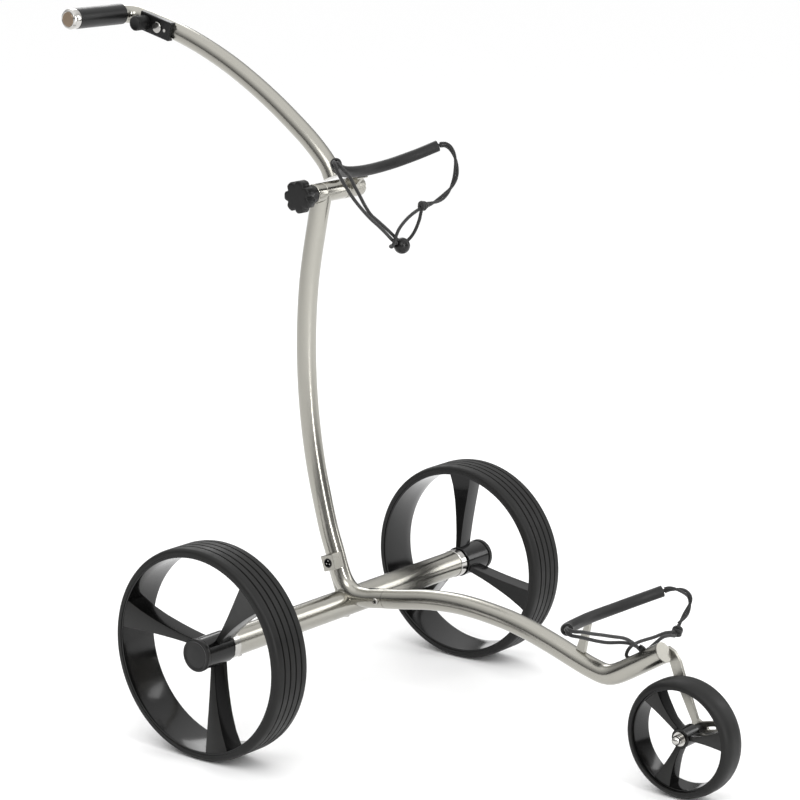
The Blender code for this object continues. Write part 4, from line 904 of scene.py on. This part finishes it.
class TROLLEY_OT_front_wheel(bpy.types.Operator):
    """Front tyre and rim, domed nut and the plate arm"""
    bl_idname = "trolley.front_wheel"
    bl_label = "Front Wheel"

    def execute(self, context):
        centre = Vector((0, FRONT.y, FRONT_R))
        near_face = FRONT.x - FRONT_HALF
        half = [(FRONT_HALF, FRONT_RIM_OUT + 0.0003), (FRONT_HALF, FRONT_R - 0.0085)]
        half += [(FRONT_HALF - 0.0150 + 0.0150 * cos(t), FRONT_R - 0.0085 + 0.0085 * sin(t))
                 for t in np.linspace(0.15, pi / 2, 8)]
        half = [(float(x), float(r)) for x, r in half]
        outline = half + [(-x, r) for x, r in reversed(half)]
        put("round_front_tyre", turned("tyre", outline, (FRONT.x, FRONT.y, FRONT_R), 120,
                                       closed=True), "front_wheel", "tyre", paint("tyre"),
            stands_for=["front_tyre"], sharp=40)
        low, high = near_face + 0.0035, near_face + 0.0365
        barrel = [(low, FRONT_RIM_IN + 0.0006), (low, FRONT_RIM_OUT), (high, FRONT_RIM_OUT),
                  (high, FRONT_RIM_IN), (low + 0.0020, FRONT_RIM_IN)]
        near, far = near_face + 0.0105, near_face + 0.0380
        hub = [(near, 0.0098), (near, 0.0124), (near + 0.0006, 0.0130), (far, 0.0130),
               (far, 0.0098), (far - 0.0062, 0.0098), (far - 0.0062, 0.0060),
               (near + 0.0062, 0.0060), (near + 0.0062, 0.0098)]
        rounds = [turned("barrel", barrel, centre, 120, closed=True),
                  turned("hub", hub, centre, 56, closed=True)]
        count = sum(len(mesh.polygons) for mesh in rounds)
        fronts = (-near - 0.0035, -near_face - 0.0100, -near_face - 0.0075, -near_face - 0.0055,
                  -near_face - 0.0045)
        backs = (-near - 0.0200,) + (-near_face - 0.0260,) * 4
        spokes = [spoke("spoke", radians(10 + 120 * k), -1, centre, (0.0115, FRONT_RIM_IN + 0.0008),
                        (0.0075, 0.026), fronts, backs, 12) for k in range(3)]
        mesh = merged("front_rim_spoked", rounds + spokes)
        face_slots(mesh, -1, count)
        put("front_rim_spoked", mesh, "front_wheel", "rim_black", paint("rim"), paint("spoke"),
            stands_for=["front_rim"])
        self.nut(near - SPIN_GAP, centre)
        self.arm()
        repaint("bright", "front_bearing_near", "front_bearing_far", "front_axle_bolt")
        repaint("plastic", "front_spacer")
        return {"FINISHED"}

    def nut(self, start, centre):
        outline = [(start, 0.0043), (start, 0.0092), (start - 0.0014, 0.0092),
                   (start - 0.0014, 0.0064), (start - 0.0070, 0.0064)]
        outline += [(start - 0.0070 - 0.0064 * sin(t), 0.0064 * cos(t))
                    for t in np.linspace(0.1, pi / 2 - 0.02, 10)]
        outline = [(float(a), float(b)) for a, b in outline]
        outline += [(start - 0.0134, 0), (start - 0.0110, 0), (start - 0.0110, 0.0043)]
        put("domed_nut", turned("nut", outline, centre, 64, closed=True), "front_leg",
            "bright_steel", paint("bright"), stands_for=["front_axle_nut"], sharp=40)

    def arm(self):
        x0, x1 = 0.0143, 0.0193
        outline = [(-0.4985, 0.1490), (-0.4935, 0.1610), (-0.5270, 0.1812), (-0.5375, 0.1765),
                   (-0.5465, 0.1642), (-0.5525, 0.1477), (-0.5750, 0.0925), (-0.5800, 0.0900),
                   (-0.6036, 0.0958), (-0.6080, 0.0930), (-0.6090, 0.0870), (-0.6054, 0.0822),
                   (-0.5860, 0.0720), (-0.5770, 0.0700), (-0.5690, 0.0725), (-0.5655, 0.0800),
                   (-0.5660, 0.0880), (-0.5368, 0.1432), (-0.5305, 0.1600)]
        arm = put("plate_arm", plate("plate_arm", outline, x0, x1), "front_leg",
                  "brushed_stainless", paint("plate"), stands_for=["fork_arm"])
        cut_with(arm, block("slot", (0.03, 0.0130, 0.0045),
                            at(0.017, -0.5965, 0.0845), radians(-14), 0.0015))
        soften = arm.modifiers.new("soften", "BEVEL")
        soften.width, soften.segments = sizes().edge_round, 2
        soften.limit_method, soften.angle_limit = "ANGLE", radians(50)


class TROLLEY_OT_frame_tubes(bpy.types.Operator):
    """Axle, stem, front tube and their welds"""
    bl_idname = "trolley.frame_tubes"
    bl_label = "Frame Tubes"

    def execute(self, context):
        centre = Vector((0, AXLE.y, AXLE.z))
        axle = [(-AXLE_HALF, 0.0175), (-AXLE_HALF, 0.0187), (-0.2424, AXLE_TUBE),
                (0.2424, AXLE_TUBE), (AXLE_HALF, 0.0187), (AXLE_HALF, 0.0175)]
        put("axle_pipe", turned("axle_pipe", axle, centre, 96, closed=True), "frame",
            "brushed_stainless", paint("steel"), stands_for=["axle_tube"])
        for label, side, _ in SIDES:
            ring = [(0.2430, 0.0066), (0.2430, 0.0192), (0.2437, 0.0199), (0.2538, 0.0199),
                    (0.2545, 0.0192), (0.2545, 0.0066)]
            put("axle_ring_" + label, turned("ring", mirrored(ring, side), centre, 96,
                                             closed=True),
                "frame", "brushed_stainless", paint("bright"), stands_for=["end_collar_" + label])
        stem = smooth([at(*p) for p in STEM_ROUTE], 0.006)
        put("stem_pipe", tube("stem_pipe", stem, TUBE, 48, STEM_WALL), "frame",
            "brushed_stainless", paint("steel"), stands_for=["stem_tube"])
        leg = smooth([at(*p) for p in LEG_ROUTE], 0.006)
        back = (leg[0] - leg[1]).normalized()
        spigot = tube("spigot", [leg[0] - back * 0.004, leg[0] + back * SPIGOT_LENGTH], SPIGOT, 40)
        put("front_pipe", merged("front_pipe", [tube("leg_pipe", leg, LEG_TUBE, 48), spigot]),
            "front_leg", "brushed_stainless", paint("steel"), stands_for=["front_tube"])
        ahead = (leg[-1] - leg[-2]).normalized()
        end = leg[-1] + ahead * 0.0003
        put("front_disc", tube("front_disc", [end, end + ahead * 0.0018], LEG_TUBE, 48),
            "front_leg", "brushed_stainless", paint("plate"), stands_for=["front_end_cap"],
            bevel=0.0004)
        repaint("plate", "cable_conduit", "socket_box")
        repaint("plastic", "socket_insert")
        repaint("bright", "axle_screw_left", "axle_screw_middle", "axle_screw_right",
                "leg_lock_screw")
        repaint("plate", "motor_left", "motor_right")
        self.latch(stem)
        self.seam(stem)
        self.small_parts()
        self.axle_weld()
        return {"FINISHED"}

    def latch(self, stem):
        """Black release slot on top of the stub."""
        along = (stem[-1] - stem[-2]).normalized()
        up = Vector((0, -along.z, along.y))
        up = up if up.z > 0 else -up
        spot = stem[-1] - along * 0.0215 + up * (TUBE - 0.0004)
        put("release_slot", block("release_slot", (0.0048, 0.0165, 0.0016), spot,
                                  atan2(-along.z, -along.y), 0.0007),
            "frame", "black_plastic", paint("plastic"))

    def seam(self, stem):
        """Dark ring round the stub's end, where the plugged-in front tube meets it: painted shade
        of the seam gap.
        """
        along = (stem[-1] - stem[-2]).normalized()
        band = [(-0.0003, TUBE - 0.0010), (0.0002, TUBE - 0.0010), (0.0002, TUBE + 0.00025),
                (-0.0003, TUBE + 0.00025)]
        put("seam_gap_shade", turned("seam_gap_shade", band, stem[-1], 48, closed=True, axis=along),
            "frame", "black_plastic", paint("dark"))

    def small_parts(self):
        """Hex recess, socket pins and the dome screw under the front tube."""
        low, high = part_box("leg_lock_screw")
        middle = (low + high) / 2
        # the hex socket is a flat near-black prism on the screw's face: painted shade where the
        # recess would be
        recess = [(low.x - 0.00005, 0), (low.x - 0.00005, 0.0021), (low.x + 0.0012, 0.0021),
                  (low.x + 0.0012, 0)]
        put("hex_recess_shade", turned("hex_recess_shade", recess, Vector((0, middle.y, middle.z)), 6),
            "frame", "black_screw", paint("dark"))
        low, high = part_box("socket_insert")
        middle = (low + high) / 2
        pins = []
        for k in range(3):
            turn = radians(90 + 120 * k)
            spot = Vector((0, middle.y + 0.0030 * cos(turn), middle.z + 0.0030 * sin(turn)))
            pin = [(low.x + 0.0006, 0), (low.x + 0.0004, 0.0009), (low.x + 0.0009, 0.0012),
                   (low.x + 0.0040, 0.0012), (low.x + 0.0040, 0)]
            pins.append(turned("pin", pin, spot, 16))
        put("socket_pins", merged("socket_pins", pins), "frame", "bright_steel", paint("bright"))
        down = Vector((-0.35, 0.45, -0.82)).normalized()
        dome = [(-0.0035, 0), (-0.0035, 0.0048)]
        dome += [(0.0045 * sin(t), 0.0048 * cos(t)) for t in np.linspace(0.1, pi / 2 - 0.05, 8)]
        dome = [(float(a), float(b)) for a, b in dome] + [(0.0045, 0)]
        put("dome_screw", turned("dome_screw", dome, middle_of("leg_screw"), 40, axis=down),
            "front_leg", "black_screw", paint("plastic"), stands_for=["leg_screw"], sharp=50)

    def axle_weld(self):
        """Bead where the stem crosses the axle."""
        points = []
        for k in range(49):
            turn = 2 * pi * k / 48
            x = (TUBE + 0.0004) * cos(turn)
            y = (TUBE + 0.0006) * sin(turn)
            y = max(-AXLE_TUBE * 0.9, min(AXLE_TUBE * 0.9, y - 0.0020))
            points.append(on_axle(x, y))
        weld("axle_weld", points, 0.0009, "frame")


def on_axle(x, y):
    """A point on top of the axle tube."""
    return Vector((x, AXLE.y + y, AXLE.z + (AXLE_TUBE * AXLE_TUBE - y * y) ** 0.5))


class TROLLEY_OT_hinge(bpy.types.Operator):
    """Hinge barrels, clamp bolt and star knob"""
    bl_idname = "trolley.hinge"
    bl_label = "Hinge and Star Knob"

    def execute(self, context):
        for name, node, body, x0, x1 in (
                ("stem_barrel", "stem_knuckle", "frame", -0.0220, -0.0035),
                ("handle_barrel", "handle_knuckle", "handle", -0.0032, 0.0420)):
            outline = [(x0, 0.0043), (x0, BARREL - 0.0007), (x0 + 0.0007, BARREL),
                       (x1 - 0.0007, BARREL), (x1, BARREL - 0.0007), (x1, 0.0043)]
            put(name, turned(name, rounded(outline, 0.0004), HINGE, 72, closed=True), body,
                "brushed_stainless", paint("steel"), stands_for=[node], sharp=50)
        repaint("plate", "upper_support_bracket")
        repaint("bright", "clamp_bolt")
        self.star()
        return {"FINISHED"}

    def star(self):
        hub = [(KNOB_FACE, 0.0043), (KNOB_FACE, 0.0126), (KNOB_FACE - 0.0006, 0.0132),
               (KNOB_FACE - 0.0180, 0.0132), (KNOB_FACE - 0.0180, 0.0043)]
        collar = turned("collar", hub, HINGE, 64, closed=True)
        rings = []
        for x, shrink in ((-0.0165, 0.0030), (-0.0170, 0.0012), (-0.0185, 0.0), (-0.0310, 0.0),
                          (-0.0322, 0.0008), (-0.0329, 0.0024), (-0.0330, 0.0050)):
            ring = []
            for k in range(KNOB_LOBES * LOBE_STEPS):
                turn = 2 * pi * k / (KNOB_LOBES * LOBE_STEPS)
                radius = 0.0225 - 0.0046 * (0.5 - 0.5 * cos(KNOB_LOBES * turn)) ** 3 - shrink
                ring.append(Vector((KNOB_FACE + x, HINGE.y + radius * cos(turn),
                                    HINGE.z + radius * sin(turn))))
            rings.append(ring)
        star = loft("star", rings)
        put("seven_lobe_knob", merged("seven_lobe_knob", [collar, star]), "star_knob",
            "black_plastic", paint("plastic"), stands_for=["star_knob"], sharp=40)


class TROLLEY_OT_handle(bpy.types.Operator):
    """Handle tube, grip, end disc and the controls"""
    bl_idname = "trolley.handle"
    bl_label = "Handle and Controls"

    def execute(self, context):
        slope = smooth([at(*p) for p in HANDLE_ROUTE], 0.006)
        corner = at(HANDLE_SIDE, *GRIP)
        along = (corner - slope[-1]).normalized()
        bend = [corner - along * BEND * (1 - sin(t)) - Vector((BEND, 0, 0)) * (1 - cos(t))
                for t in np.linspace(0, pi / 2, 16)]
        bend = [Vector([float(c) for c in p]) for p in bend]
        straight = [corner - Vector((x, 0, 0)) for x in (0.045, 0.075, 0.1147)]
        points = [p for p in slope if (corner - p).length > 0.0305] + bend + straight
        put("handle_pipe", tube("handle_pipe", points, HANDLE_TUBE, 48), "handle",
            "brushed_stainless", paint("steel"), stands_for=["handle_tube"])
        grip = at(0, *GRIP)
        sleeve = [(0.0055, 0.0134), (0.0055, 0.0139), (0.0047, 0.0147), (-0.0869, 0.0147),
                  (-0.0877, 0.0139), (-0.0877, 0.0134)]
        put("grip_cover", turned("grip_cover", sleeve, grip, 96, closed=True), "handle",
            "black_plastic", paint("plastic"), stands_for=["grip_sleeve"])
        ring = [(-0.0880, 0.0060), (-0.0880, 0.0145), (-0.0981, 0.0145), (-0.1012, 0.0127),
                (-0.1018, 0.0112), (-0.1012, 0.0104), (-0.1012, 0.0060)]
        put("grip_ring", turned("grip_ring", rounded(ring, 0.0006), grip, 96, closed=True),
            "handle", "bright_steel", paint("bright"), stands_for=["grip_end_cap"], sharp=40)
        disc = [(-0.1000, 0), (-0.1000, 0.0102), (-0.1016, 0.0102), (-0.1020, 0.0098), (-0.1022, 0)]
        put("grip_disc", turned("grip_disc", disc, grip, 96), "handle", "bright_steel",
            paint("bronze"), stands_for=["grip_end_cap"])
        repaint("plastic", "control_housing")
        repaint("bright", "housing_screw", "push_button")
        self.dial()
        return {"FINISHED"}

    def dial(self):
        """Knurled speed knob with a dished face."""
        low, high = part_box("speed_knob")
        knob = (low + high) / 2
        rings = []
        for x, shrink, tooth in ((high.x, 0.0004, 0.0), (high.x - 0.0010, 0.0, 0.0006),
                                 (low.x + 0.0014, 0.0, 0.0006), (low.x + 0.0004, 0.0006, 0.0003),
                                 (low.x, 0.0016, 0.0), (low.x + 0.0006, 0.0030, 0.0)):
            ring = []
            for k in range(144):
                radius = DIAL - shrink - tooth * (k % 4 > 1)
                ring.append(Vector((x, knob.y + radius * cos(2 * pi * k / 144),
                                    knob.z + radius * sin(2 * pi * k / 144))))
            rings.append(ring)
        put("knurled_dial", loft("knurled_dial", rings), "speed_knob", "black_plastic",
            paint("plastic"), stands_for=["speed_knob"], sharp=25)


class TROLLEY_OT_supports(bpy.types.Operator):
    """Curved bag supports in their open-ended sleeves"""
    bl_idname = "trolley.supports"
    bl_label = "Bag Supports"

    def execute(self, context):
        for label, body in (("upper", "frame"), ("lower", "front_leg")):
            points = support_line(label)
            put(label + "_rubber_tube", tube(label + "_rubber_tube", points, SLEEVE, 40,
                                             sizes().sleeve_wall), body,
                "sleeve_rubber", paint("sleeve"), stands_for=[label + "_support_sleeve"])
            repaint("bright", label + "_support_bar")
        repaint("plate", "lower_support_post")
        return {"FINISHED"}


class TROLLEY_PT_panel(bpy.types.Panel):
    """Sizes, colours and builders of the trolley"""
    bl_idname = "TROLLEY_PT_panel"
    bl_label = "Golf Trolley"
    bl_space_type = "VIEW_3D"
    bl_region_type = "UI"
    bl_category = "Trolley"

    def draw(self, context):
        scene = context.scene
        for group_of in (scene.trolley_sizes, scene.trolley_colours, scene.trolley_studio):
            column = self.layout.column()
            for key in group_of.__annotations__:
                column.prop(group_of, key)
        for builder in BUILDERS:
            self.layout.operator(builder.bl_idname)


BUILDERS = (TROLLEY_OT_studio, TROLLEY_OT_cords, TROLLEY_OT_rear_wheels, TROLLEY_OT_front_wheel,
            TROLLEY_OT_frame_tubes, TROLLEY_OT_hinge, TROLLEY_OT_handle, TROLLEY_OT_supports)
CLASSES = (TrolleySizes, TrolleyColours, TrolleyStudio) + BUILDERS + (TROLLEY_PT_panel,)


def register():
    for item in CLASSES:
        bpy.utils.register_class(item)
    bpy.types.Scene.trolley_sizes = bpy.props.PointerProperty(type=TrolleySizes)
    bpy.types.Scene.trolley_colours = bpy.props.PointerProperty(type=TrolleyColours)
    bpy.types.Scene.trolley_studio = bpy.props.PointerProperty(type=TrolleyStudio)


def unregister():
    del bpy.types.Scene.trolley_studio
    del bpy.types.Scene.trolley_colours
    del bpy.types.Scene.trolley_sizes
    for item in reversed(CLASSES):
        bpy.utils.unregister_class(item)


def main():
    register()
    bpy.ops.trolley.studio()
    bpy.ops.trolley.cords()
    bpy.ops.trolley.rear_wheels()
    bpy.ops.trolley.front_wheel()
    bpy.ops.trolley.frame_tubes()
    bpy.ops.trolley.hinge()
    bpy.ops.trolley.handle()
    bpy.ops.trolley.supports()


if __name__ == "__main__":
    main()
